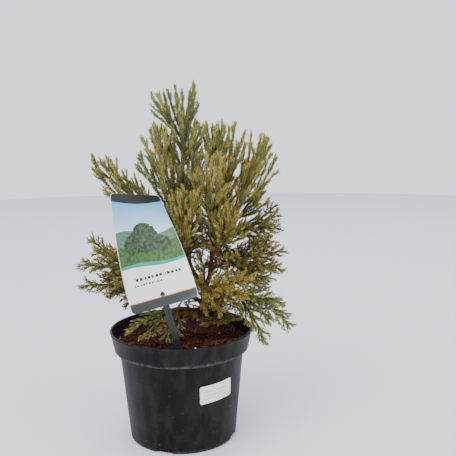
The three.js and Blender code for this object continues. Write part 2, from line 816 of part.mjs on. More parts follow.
// Side twigs of a mass, each shortened or left out where it has no room
function growSideTwigs(mass) {
  const sideTwigs = [];
  const span = SIDE_TWIG.last - SIDE_TWIG.first;
  for (const mainTwig of mass.mainTwigs) {
    const count = Math.floor((span * mainTwig.length) / SIDE_TWIG.spacing) + 1;
    for (let turnNumber = 0; turnNumber < count; turnNumber++) {
      const stations = fittedSideTwig(mass, mainTwig, turnNumber, count);
      if (!stations) continue;
      const twig = SIDE_TWIG_NUMBERS * mainTwig.twig + turnNumber;
      takeRoom(mass.name, stations, twig);
      sideTwigs.push({ twig, stations });
    }
  }
  return sideTwigs;
}

// The needle sprays of a twig, as teeth on some of its edges. Each tooth leans forwards.
function growTeeth(mass, { twig, stations }) {
  const sides = MAIN_TWIG.sides;
  const rings = limbRings(stations, sides, false, 0);
  const teeth = [];
  for (let step = 1; step < stations.length - 1; step++) {
    const random = numberStream(mass.number, TOOTH_NUMBERS + twig, step);
    const bare = Math.floor(sides * random());
    const from = stations[step].at;
    const along = stations[step + 1].at.clone().sub(from);
    const forward = along.clone().setLength(TOOTH.forward);
    for (let side = 0; side < sides; side++) {
      const place = TOOTH.place + scattered(random, TOOTH.placeScatter);
      const at = from.clone().addScaledVector(along, place);
      const reach = TOOTH.reach * (1 + scattered(random, TOOTH.reachScatter));
      const out = rings[step][side].clone().sub(from).setLength(reach);
      const tip = at.clone().add(out).add(forward);
      const fin = [from, tip, at].map((corner) => ({ at: corner, radius: TOOTH.radius }));
      if (side === bare || blockerOf(mass.name, fin, (other) => other === twig)) continue;
      takeRoom(mass.name, fin, twig);
      teeth.push({ step, side, tip });
    }
  }
  return teeth;
}

// Assembly

const plant = new THREE.Group();

const stems = { trunk: stemStations(TRUNK), second_stem: stemStations(SECOND_STEM) };
const trunkShape = { level: true, lobes: TRUNK.flare.lobes };
const trunk = limb(stems.trunk, TRUNK.sides, trunkShape);
const stemRooms = {
  trunk: limb(grown(stems.trunk, SEAT_GAP), TRUNK.sides, trunkShape),
  second_stem: limb(grown(stems.second_stem, SEAT_GAP), SECOND_STEM.sides),
};
const secondStem = limb(stems.second_stem, SECOND_STEM.sides).subtract(stemRooms.trunk);

plant.add(meshOf(makePot(), "pot", "pot"));
plant.add(meshOf(makeSoil(makeSpike(SEAT_GAP)), "soil", "soil"));
plant.add(meshOf(makeLabel(), "plant_label", "label"));
plant.add(meshOf(makePriceLabel(), "price_label", "paper"));
plant.add(meshOf(trunk, "trunk", "bark"));
plant.add(meshOf(secondStem, "second_stem", "bark"));

// The label and the stems take their room first
for (let row = 0; row <= LABEL.roomRows; row++) {
  const ends = [0, 1].map((across) => labelPoint(across, row / LABEL.roomRows, 0));
  takeRoom("plant_label", ends.map((at) => ({ at, radius: LABEL.roomRadius })));
}
const spikeEnds = [SPIKE.top, SPIKE.foot].map((point) => new THREE.Vector3(...point));
takeRoom("plant_label", spikeEnds.map((at) => ({ at, radius: SPIKE.roomRadius })));
for (const [name, stations] of Object.entries(stems)) takeRoom(name, stations);

// The bough of a mass, and its stem, which starts past the bough's tip
function growOnBough(mass, number) {
  const bareSteps = mass.bareSteps ?? BOUGH.bareSteps;
  const path = boughStations(pointAtHeight(stems[mass.stem], mass.height), mass);
  const bough = path.slice(0, bareSteps + 1);
  const solid = limb(bough, BOUGH.sides).subtract(stemRooms[mass.stem]);
  plant.add(meshOf(solid, `${mass.name}_bough`, "bough"));
  takeRoom(`${mass.name}_bough`, bough);
  const stem = path.slice(bareSteps);
  const into = stem[1].at.clone().sub(stem[0].at).setLength(SEAT_GAP);
  const [before, fork] = stem.slice(-2);
  const out = fork.at.clone().sub(before.at).normalize();
  stem[0] = { ...stem[0], at: stem[0].at.clone().add(into) };
  return { ...mass, number, mainTwigs: growMainTwigs(mass, stem, out) };
}

// A mass without a bough sits on its stem at a height, or past its tip
function growOnStem(mass, number) {
  const stem = stems[mass.stem];
  if (mass.height) {
    const [bearing, rise] = mass.twigs[0];
    const start = pointAtHeight(stem, mass.height);
    const direction = directionOf(bearing, rise - ON_STEM_LEAN);
    return { ...mass, number, mainTwigs: growMainTwigs(mass, [{ at: start }], direction) };
  }
  const [before, end] = stem.slice(-2);
  const direction = end.at.clone().sub(before.at).normalize();
  const start = end.at.clone().addScaledVector(direction, SEAT_GAP);
  return { ...mass, number, mainTwigs: growMainTwigs(mass, [{ at: start }], direction) };
}

const masses = CROWN.map((mass, number) => (mass.bough ? growOnBough : growOnStem)(mass, number));

// Main twigs take their room before any side twig does. Their first step starts on what carries them.
for (const { name, mainTwigs } of masses)
  for (const { twig, stations } of mainTwigs) {
    const blocker = blockerOf(name, stations.slice(1), () => true);
    if (blocker) throw new Error(`a main twig of ${name} meets ${blocker}`);
    takeRoom(name, stations, twig);
  }
for (const mass of masses) mass.sideTwigs = growSideTwigs(mass);
for (const mass of masses) {
  const twigs = [...mass.mainTwigs, ...mass.sideTwigs];
  const pieces = twigs.map((twig) => {
    const teeth = growTeeth(mass, twig);
    return limb(twig.stations, MAIN_TWIG.sides, { teeth });
  });
  const joined = wasm.Manifold.union(pieces);
  const foliage = mass.height ? joined.subtract(stemRooms[mass.stem]) : joined;
  plant.add(meshOf(foliage, `${mass.name}_foliage`, "foliage"));
}

export default plant;
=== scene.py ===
"""The looks of a young giant sequoia in its nursery pot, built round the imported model.

Growth is worked out in millimetres, by the seeded rule that the solids follow, and carried on to finer
twigs and needles. Meshes are written in metres.
"""

import logging
import math
from dataclasses import dataclass, field, replace
from enum import Enum
from functools import cache
from typing import Any, Callable, Sequence

import bmesh
import bpy
import numpy as np
from bpy.types import Material, Mesh, NodeSocket, NodeTree, Object
from mathutils import Matrix, Vector, noise

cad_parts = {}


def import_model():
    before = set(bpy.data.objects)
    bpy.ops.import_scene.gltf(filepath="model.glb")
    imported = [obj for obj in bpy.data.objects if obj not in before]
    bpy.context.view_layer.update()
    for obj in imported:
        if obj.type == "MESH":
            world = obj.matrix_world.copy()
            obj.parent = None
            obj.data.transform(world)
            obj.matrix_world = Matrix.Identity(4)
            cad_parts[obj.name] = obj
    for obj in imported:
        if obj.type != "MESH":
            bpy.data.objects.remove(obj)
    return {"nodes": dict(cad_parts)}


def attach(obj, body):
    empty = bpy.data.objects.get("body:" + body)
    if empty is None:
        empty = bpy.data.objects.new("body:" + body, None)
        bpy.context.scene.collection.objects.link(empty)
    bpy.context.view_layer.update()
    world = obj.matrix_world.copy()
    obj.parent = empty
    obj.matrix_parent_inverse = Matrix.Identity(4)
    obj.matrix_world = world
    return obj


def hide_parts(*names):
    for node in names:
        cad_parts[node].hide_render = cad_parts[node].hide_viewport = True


log = logging.getLogger("potted_sequoia")

MM = 0.001
UP = np.array([0.0, 0.0, 1.0])
SIDE = np.array([1.0, 0.0, 0.0])
GOLDEN_ANGLE = math.radians(137.508)
BODY = "root"

Array = np.ndarray
Pair = tuple[float, float]
Triple = tuple[float, float, float]


# Number streams, directions and paths


class NumberStream:
    """Repeatable numbers from 0 to 1, named by the keys that lead to them."""

    MODULUS = 2147483647

    def __init__(self, *keys: int) -> None:
        """Starts the stream that the keys name.

        Args:
            keys: whole numbers.
        """
        state = 1
        for key in keys:
            state = ((state * 31 + key + 7) * 48271) % self.MODULUS
        self.state = state

    def draw(self) -> float:
        """Returns the next number."""
        self.state = self.state * 16807 % self.MODULUS
        return (self.state - 1) / (self.MODULUS - 1)

    def scattered(self, spread: float) -> float:
        """Returns a number from minus half of the spread to plus half."""
        return spread * (self.draw() - 0.5)

    def between(self, low: float, high: float) -> float:
        """Returns a number from low to high."""
        return low + (high - low) * self.draw()


def direction_of(bearing: float, rise: float) -> Array:
    """The unit direction at a bearing, in degrees from +X towards the back, and a rise above level."""
    turn, lift = math.radians(bearing), math.radians(rise)
    return np.array([math.cos(turn) * math.cos(lift), math.sin(turn) * math.cos(lift), math.sin(lift)])


def unit(vector: Array) -> Array:
    """Returns the vector at length 1."""
    return vector / np.linalg.norm(vector)


def leaning_from(along: Array, side: Array, angle: float, turn: float) -> Array:
    """A direction that leans from another.

    Args:
        along: the unit direction it leans from.
        side: the direction that turns are measured from.
        angle: how far it leans, in radians.
        turn: which way, in radians about along.

    Returns:
        The leaning unit direction.
    """
    across = unit(side - along * (side @ along))
    aside = np.cross(along, across)
    out = across * math.cos(turn) + aside * math.sin(turn)
    return along * math.cos(angle) + out * math.sin(angle)


def bend_through(root: Array, elbow: Array, tip: Array, steps: int) -> Array:
    """Points of a smooth bend from a root to a tip, drawn towards an elbow."""
    share = np.linspace(0, 1, steps + 1)[:, None]
    return (1 - share) ** 2 * root + 2 * share * (1 - share) * elbow + share**2 * tip


def lengths_along(path: Array) -> Array:
    """The distance along a path at each of its points."""
    return np.concatenate([[0.0], np.cumsum(np.linalg.norm(np.diff(path, axis=0), axis=1))])


def evenly(path: Array, spacing: float) -> Array:
    """The same path with its points an even distance apart, which comes close to the spacing."""
    along = lengths_along(path)
    return point_on(path, along, np.linspace(0, along[-1], max(int(round(along[-1] / spacing)), 1) + 1))


def point_on(path: Array, along: Array, place: float | Array) -> Array:
    """The point of a path at a distance along it, or a row for each of several distances."""
    return np.stack([np.interp(place, along, path[:, axis]) for axis in range(3)], axis=-1)


def place_and_way(path: Array, along: Array, place: float) -> tuple[Array, Array]:
    """The point of a path at a distance along it, and the path's direction there."""
    at, ahead = (point_on(path, along, place + more) for more in (0, 1))
    return at, unit(ahead - at)


def level_beside(way: Array) -> Array:
    """The level direction across a way, or a fixed one where the way is nearly upright."""
    return unit(np.cross(way, UP)) if abs(way[2]) < 0.95 else SIDE


def smooth_curve(keys: Array, steps: int) -> Array:
    """Points of a centripetal curve through keys of any width, whose first three numbers are places.

    Args:
        keys: one row for each key.
        steps: how many points make a span.

    Returns:
        A row for each point, whose later columns run evenly.
    """
    places = keys[:, :3]
    ends = [2 * places[0] - places[1], *places, 2 * places[-1] - places[-2]]
    rows = []
    for span in range(len(keys) - 1):
        p0, p1, p2, p3 = ends[span : span + 4]
        d0, d1, d2 = (math.sqrt(np.linalg.norm(b - a)) for a, b in ((p0, p1), (p1, p2), (p2, p3)))
        start = ((p1 - p0) / d0 - (p2 - p0) / (d0 + d1) + (p2 - p1) / d1) * d1
        end = ((p2 - p1) / d1 - (p3 - p1) / (d1 + d2) + (p3 - p2) / d2) * d1
        for step in range(steps + (span == len(keys) - 2)):
            t = step / steps
            square = -3 * p1 + 3 * p2 - 2 * start - end
            cube = 2 * p1 - 2 * p2 + start + end
            place = p1 + start * t + square * t**2 + cube * t**3
            rows.append(np.concatenate([place, keys[span, 3:] * (1 - t) + keys[span + 1, 3:] * t]))
    return np.array(rows)


# Sizes of the pot, the stems and the crown


@dataclass(frozen=True)
class PotSizes:
    """The nursery pot and its filling."""

    height: float = 147
    rim_radius: float = 95
    collar_top_radius: float = 94.2
    collar_foot_radius: float = 89.5
    collar_foot_height: float = 121.5
    body_top_radius: float = 82.5
    body_top_height: float = 117
    foot_radius: float = 71.4
    foot_rounding: float = 2.2
    wall: float = 1.6
    floor: float = 2
    rim_depth: float = 4
    twig_room: float = 2
    soil_top: float = 133
    soil_edge_drop: float = 1.8
    seat_gap: float = 0.3

    def body_radius(self, height: float) -> float:
        """The wall's outer radius at a height below the collar."""
        share = height / self.body_top_height
        return self.foot_radius + (self.body_top_radius - self.foot_radius) * share

    def inner_radius(self, height: float) -> float:
        """The inside radius of the collar at a height."""
        share = (height - self.collar_foot_height) / (self.height - self.collar_foot_height)
        return self.collar_foot_radius * (1 - share) + self.collar_top_radius * share - self.wall

    def clears(self, points: Array, room: float) -> bool:
        """Whether points are clear of the soil, the wall and the rim.

        Args:
            points: points in millimetres.
            room: the room they need.

        Returns:
            True where all are clear.
        """
        outward = np.hypot(points[:, 0], points[:, 1])
        above = points[:, 2] - room > self.height
        wall = np.where(points[:, 2] > self.collar_foot_height, self.rim_radius, self.body_top_radius)
        outside = outward - room > wall
        inner = self.collar_top_radius - self.wall - self.twig_room
        inside = (outward + room < inner) & (points[:, 2] - room > self.soil_top)
        return bool(np.all(above | outside | inside))


@dataclass(frozen=True)
class StemSizes:
    """A stem: keys of x, y, z and radius on its axis."""

    keys: tuple[tuple[float, float, float, float], ...]
    flare_height: float = 0
    flare_radius: float = 0
    lobes: int = 0
    lobe_depth: float = 0
    steps: int = 2

    def stations(self, steps: int = 0) -> Array:
        """Rows of x, y, z and radius along the stem, as many to a span as steps says."""
        return smooth_curve(np.array(self.keys, float), steps or self.steps)

    def point_at(self, height: float) -> Array:
        """The point of the axis at a height."""
        rows = self.stations()
        return point_on(rows, rows[:, 2], height)


POT = PotSizes()
TRUNK = StemSizes(
    ((25, 20, POT.soil_top + POT.seat_gap, 5.4), (27, 20, 160, 4.8), (30, 20, 194, 4.5), (19, 17, 213, 3.6),
     (10, 15, 238, 3.1), (10, 10, 283, 2.8), (5, 4, 344, 2.2), (8, 0, 398, 1.5)),
    flare_height=15, flare_radius=4.2, lobes=5, lobe_depth=0.16,
)
SECOND_STEM = StemSizes(
    ((29.5, 20, 190, 3.6), (38, 20, 212, 3.2), (42, 19, 248, 2.9), (43, 14, 300, 2.2), (44, 12, 332, 1.6))
)
STEMS = {"trunk": TRUNK, "second_stem": SECOND_STEM}


@dataclass(frozen=True)
class Habit:
    """How twigs stand: how they leave their parent, how long and how close they are, and their needles."""

    angle: float
    fall: float
    reach: float
    added: float
    longest: float
    lift: float
    is_flat: bool
    spacing: float
    room: float
    shoot_spacing: float
    child_spacing: float
    child_reach: float
    child_added: float
    bears_from: float
    needle_size: float
    needle_lean: float

    @property
    def is_spray(self) -> bool:
        """Whether side twigs bear twigs of their own from near their foot."""
        return self.bears_from < 20


PLUME = Habit(
    angle=21, fall=4, reach=0.8, added=10, longest=72, lift=0.3, is_flat=False, spacing=5.2, room=3.1,
    shoot_spacing=7, child_spacing=9, child_reach=0.5, child_added=8, bears_from=26,
    needle_size=0.98, needle_lean=0.36,
)
RISING = replace(PLUME, angle=26, lift=0.6, reach=0.66)
CORDS = replace(PLUME, angle=24, spacing=5.6, room=3.5, shoot_spacing=9, child_spacing=9.5, needle_lean=0.42)
FEATHER = replace(CORDS, angle=28, reach=0.58, longest=42, spacing=4.2, room=3, shoot_spacing=30)
THIN = replace(CORDS, spacing=8.5, room=4.6, shoot_spacing=26, child_spacing=11, needle_size=1.02)
SPRAY = Habit(
    angle=42, fall=6, reach=0.38, added=8, longest=28, lift=0.04, is_flat=False, spacing=5.2, room=2.5,
    shoot_spacing=10, child_spacing=5.4, child_reach=0.36, child_added=4, bears_from=11,
    needle_size=0.82, needle_lean=0.54,
)
BUSHY = replace(SPRAY, spacing=4.4, room=2.1, child_spacing=4.8)
FROND = replace(
    SPRAY, angle=46, fall=10, reach=0.5, lift=0.12, is_flat=True, spacing=6.4, room=3.3, shoot_spacing=13,
    child_spacing=6, needle_size=0.62,
)


class Tint(Enum):
    """The needles' plain colours, as red, green and blue from 0 to 1 on the screen."""

    SHADE = (0.34, 0.32, 0.15)
    GREEN = (0.39, 0.43, 0.23)
    OLIVE = (0.49, 0.51, 0.30)
    HAZEL = (0.55, 0.49, 0.22)
    LIME = (0.64, 0.62, 0.35)
    BRONZE = (0.62, 0.53, 0.30)
    AMBER = (0.74, 0.56, 0.30)
    GOLD = (0.67, 0.57, 0.25)
    RUST = (0.54, 0.31, 0.17)


def shares(**weights: int) -> dict[Tint, int]:
    """Tints by their names, with how often each comes."""
    return {Tint[name.upper()]: weight for name, weight in weights.items()}


class Tone(Enum):
    """A mass's colouring: how often each tint comes at a twig's foot, middle and tip."""

    OLIVE = (
        shares(shade=2, green=5, olive=4),
        shares(olive=8, green=3, lime=2),
        shares(olive=14, green=3, lime=6, bronze=4, amber=1),
    )
    YELLOW = (
        shares(hazel=5, olive=4, shade=1),
        shares(lime=6, hazel=4, olive=2),
        shares(lime=12, bronze=5, gold=4, amber=1),
    )
    BRONZE = (
        shares(shade=2, green=3, olive=4, hazel=2),
        shares(hazel=4, olive=6, lime=2),
        shares(bronze=8, amber=3, hazel=8, lime=8),
    )
    GREEN = (
        shares(shade=8, rust=1),
        shares(shade=4, green=3, hazel=5),
        shares(green=3, hazel=5, olive=4, bronze=3, amber=1, rust=1),
    )
    HAZEL = (
        shares(hazel=5, shade=3, green=1),
        shares(hazel=8, olive=3, lime=2),
        shares(hazel=6, lime=6, bronze=5, gold=2, amber=1),
    )
    GOLD = (
        shares(hazel=6, shade=3, rust=1),
        shares(gold=5, hazel=5, bronze=2),
        shares(gold=7, lime=4, amber=1),
    )
    FERN = (
        shares(green=5, shade=3),
        shares(green=6, olive=3, hazel=2),
        shares(olive=3, lime=5, bronze=4, gold=2),
    )
    DEAD = (
        shares(rust=3, shade=6),
        shares(rust=4, hazel=2, shade=5),
        shares(rust=5, bronze=2, hazel=4),
    )


@dataclass(frozen=True)
class Mass:
    """One mass of foliage: its stem, its bough and its main twigs' bearings, rises and lengths."""

    name: str
    stem: StemSizes
    habit: Habit
    tone: Tone
    twigs: tuple[Triple, ...]
    height: float = 0
    bearing: float = 0
    rise: float = 0
    bough: float = 0
    bend: float = 0
    more: tuple[Triple, ...] = ()


CROWN = (
    Mass("leader_top", TRUNK, CORDS, Tone.OLIVE, ((346, 76, 73), (197, 53, 71), (150, 70, 69),
         (60, 66, 52)), more=((178, 62, 66), (240, 80, 64), (30, 74, 62), (184, 73, 78), (275, 72, 58),
         (100, 78, 60), (345, 60, 56), (15, 70, 62))),
    Mass("leader_back", TRUNK, CORDS, Tone.OLIVE, ((20, 66, 48), (75, 60, 42)), 362),
    Mass("leader_front", TRUNK, CORDS, Tone.OLIVE, ((250, 66, 38), (325, 60, 56)), 330),
    Mass("upper_left", TRUNK, THIN, Tone.YELLOW, ((173, 62, 83), (230, 72, 94), (107, 80, 83)), 294,
         206, 58, 40, 20),
    Mass("back_left", TRUNK, THIN, Tone.OLIVE, ((150, 66, 80), (112, 74, 80), (165, 50, 46)), 306, 140,
         50, 42, 20),
    Mass("mid_left", TRUNK, THIN, Tone.OLIVE, ((204, 62, 77), (244, 60, 79)), 281, 225, 43, 49, 20),
    Mass("far_left", TRUNK, FEATHER, Tone.BRONZE, ((188, 51, 88), (190, 44, 70), (152, 62, 42),
         (130, 68, 34)), 257, 190, 40, 92, -70, ((196, 50, 76),)),
    Mass("back_middle", TRUNK, PLUME, Tone.OLIVE, ((80, 62, 88), (115, 58, 82), (60, 42, 60)), 268, 95,
         44, 55, 24, ((48, 66, 84), (62, 58, 70))),
    Mass("front_centre", TRUNK, RISING, Tone.HAZEL, ((156, 41, 38), (259, 66, 62), (298, 43, 57),
         (285, -7, 36)), 246, 267, 41, 51, 20, ((276, 74, 62), (238, 66, 60), (310, 68, 60), (285, 56, 54))),
    Mass("back_centre", TRUNK, PLUME, Tone.GREEN, ((112, 38, 74), (140, 24, 66), (92, 54, 60)), 236,
         118, 34, 46, 14),
    Mass("upper_right", SECOND_STEM, PLUME, Tone.BRONZE, ((234, 79, 88), (86, 80, 88), (332, 79, 90))),
    Mass("right_upper", SECOND_STEM, CORDS, Tone.BRONZE, ((344, 79, 95), (315, 62, 75)), 293, 320, 62,
         40, 20),
    Mass("back_right", SECOND_STEM, CORDS, Tone.OLIVE, ((48, 62, 72), (80, 66, 78), (100, 45, 55)), 284,
         62, 46, 50, 22),
    Mass("front_upper", SECOND_STEM, PLUME, Tone.YELLOW, ((264, 75, 77), (307, 66, 77), (234, 54, 63)),
         275, 266, 38, 53, 24, ((285, 72, 74), (250, 64, 68), (296, 58, 66), (274, 60, 60))),
    Mass("right_outer", SECOND_STEM, CORDS, Tone.BRONZE, ((331, 69, 86), (18, 62, 105), (350, 60, 98)),
         267, 338, 50, 52, 20),
    Mass("right_far", SECOND_STEM, CORDS, Tone.BRONZE, ((354, 57, 94), (324, 40, 56), (281, 36, 76)),
         257, 355, 45, 54, 18),
    Mass("right_side", SECOND_STEM, SPRAY, Tone.GREEN, ((346, 39, 54), (12, -4, 50)), 247, 349, 33, 58,
         0, ((0, 22, 50), (330, 12, 46), (350, -24, 42), (336, -6, 50))),
    Mass("right_front", SECOND_STEM, RISING, Tone.HAZEL, ((257, 16, 45), (296, 25, 52), (329, -10, 39)),
         238.5, 290, 36, 52, 10, ((286, 64, 56), (318, 58, 54), (256, 58, 50), (340, 40, 52))),
    Mass("back_low_middle", SECOND_STEM, SPRAY, Tone.GREEN, ((84, 18, 86), (110, 14, 72), (62, 30, 70)),
         230, 88, 22, 56, 10),
    Mass("right_low", SECOND_STEM, BUSHY, Tone.GREEN, ((352, 10, 74), (4, -13, 74), (320, 26, 78)), 222,
         334, 23, 37, 0, ((338, -4, 64), (346, 36, 52), (350, -24, 60))),
    Mass("back_low_left", TRUNK, SPRAY, Tone.GREEN, ((128, 16, 80), (158, 18, 72), (100, 34, 66)), 208,
         135, 24, 62, 10, ((20, 40, 62), (36, 55, 58), (8, 24, 54))),
    Mass("low_left_upper", TRUNK, BUSHY, Tone.BRONZE, ((171, 35, 82), (191, 9, 82)), 199, 194, 17, 89,
         0, ((150, 22, 64), (204, 30, 54), (182, 24, 76), (184, -9, 66), (165, 4, 60), (176, 14, 66))),
    Mass("low_right_front", TRUNK, SPRAY, Tone.GOLD, ((341, 17, 63), (320, -6, 62), (289, 11, 61)),
         189.5, 292, 24, 41, -10, ((305, 14, 50), (268, -8, 46), (330, -26, 48), (345, -10, 52),
         (296, -30, 50), (268, -30, 44), (118, 72, 56))),
    Mass("back_low_right", TRUNK, SPRAY, Tone.GREEN, ((36, -8, 84), (64, 2, 80), (20, -12, 66)), 182,
         48, 16, 55, 0, ((124, 58, 62),)),
    Mass("low_left_lower", TRUNK, BUSHY, Tone.GREEN, ((186, 3, 94), (210, -1, 69)), 175, 204, 22, 80,
         -20, ((166, 12, 66), (190, 18, 70), (176, 0, 68))),
    Mass("droop_right", TRUNK, BUSHY, Tone.OLIVE, ((348, -34, 86), (310, -49, 80), (13, -16, 69)), 167,
         339, 24, 60, -30, ((330, -30, 62), (0, -8, 56), (332, -4, 48), (312, -38, 36))),
    Mass("pot_front_left", TRUNK, FROND, Tone.FERN, ((207, -21, 71), (225, -29, 62), (261, -43, 51)),
         158.5, 231, 19, 62, -30),
    Mass("pot_front_right", TRUNK, FROND, Tone.GREEN, ((248, -7, 28), (298, 0, 30), (332, 7, 47)), 150,
         298, 16, 33, -20),
)


# Growth of the crown


@dataclass
class Limb:
    """A limb with bark: its path, its radius at each point, and the solid's node that it stands for."""

    node: str
    path: Array
    radii: Array
    lobes: int = 0
    lobe_depths: Array | None = None


@dataclass
class Twig:
    """A twig: its path, the core's radius at each point, and what its needles are like."""

    mass: int
    order: int
    path: Array
    radii: Array
    tone: Tone
    habit: Habit
    key: int
    has_core: bool = True


@dataclass
class Rooms:
    """The room taken so far, as cells from a low to a high corner, each with the mark of who fills it."""

    low: Array
    high: Array
    cell: float

    def __post_init__(self) -> None:
        """Makes the empty cells."""
        self.marks = np.zeros(np.ceil((self.high - self.low) / self.cell).astype(int), np.int32)

    def cells_of(self, points: Array) -> Array:
        """The whole-number cell of each point."""
        return np.floor((points - self.low) / self.cell).astype(int)

    def take(self, points: Array, radius: float, mark: int) -> None:
        """Marks the empty cells near points.

        Args:
            points: points in millimetres.
            radius: how far from them.
            mark: the mark to leave.
        """
        reach = int(math.ceil(radius / self.cell))
        steps = np.arange(-reach, reach + 1)
        offsets = np.stack(np.meshgrid(steps, steps, steps), axis=-1).reshape(-1, 3)
        offsets = offsets[np.linalg.norm(offsets, axis=1) * self.cell <= radius]
        cells = (self.cells_of(points)[:, None, :] + offsets[None, :, :]).reshape(-1, 3)
        cells = cells[np.all((cells >= 0) & (cells < self.marks.shape), axis=1)]
        index = tuple(cells.T)
        self.marks[index] = np.where(self.marks[index] == 0, mark, self.marks[index])

    def is_free(self, points: Array, near_root: Array, mark: int) -> bool:
        """Whether points lie in empty cells.

        Args:
            points: the points of a path.
            near_root: for each, whether it may lie in cells of the same mark.
            mark: that mark.

        Returns:
            True where every point has room.
        """
        cells = self.cells_of(points)
        if np.any((cells < 0) | (cells >= self.marks.shape)):
            return False
        found = self.marks[tuple(cells.T)]
        return bool(np.all((found == 0) | (near_root & (found == mark))))


@dataclass(frozen=True)
class InnerHabit:
    """How short twigs stand along a stem or a bough: where they begin and end, and how often one lives."""

    first: float
    last_share: float
    spacing: float
    lives_every: int


ON_STEM = InnerHabit(9, 0.8, 3.2, 3)
ON_BOUGH = InnerHabit(8, 0.6, 7, 5)


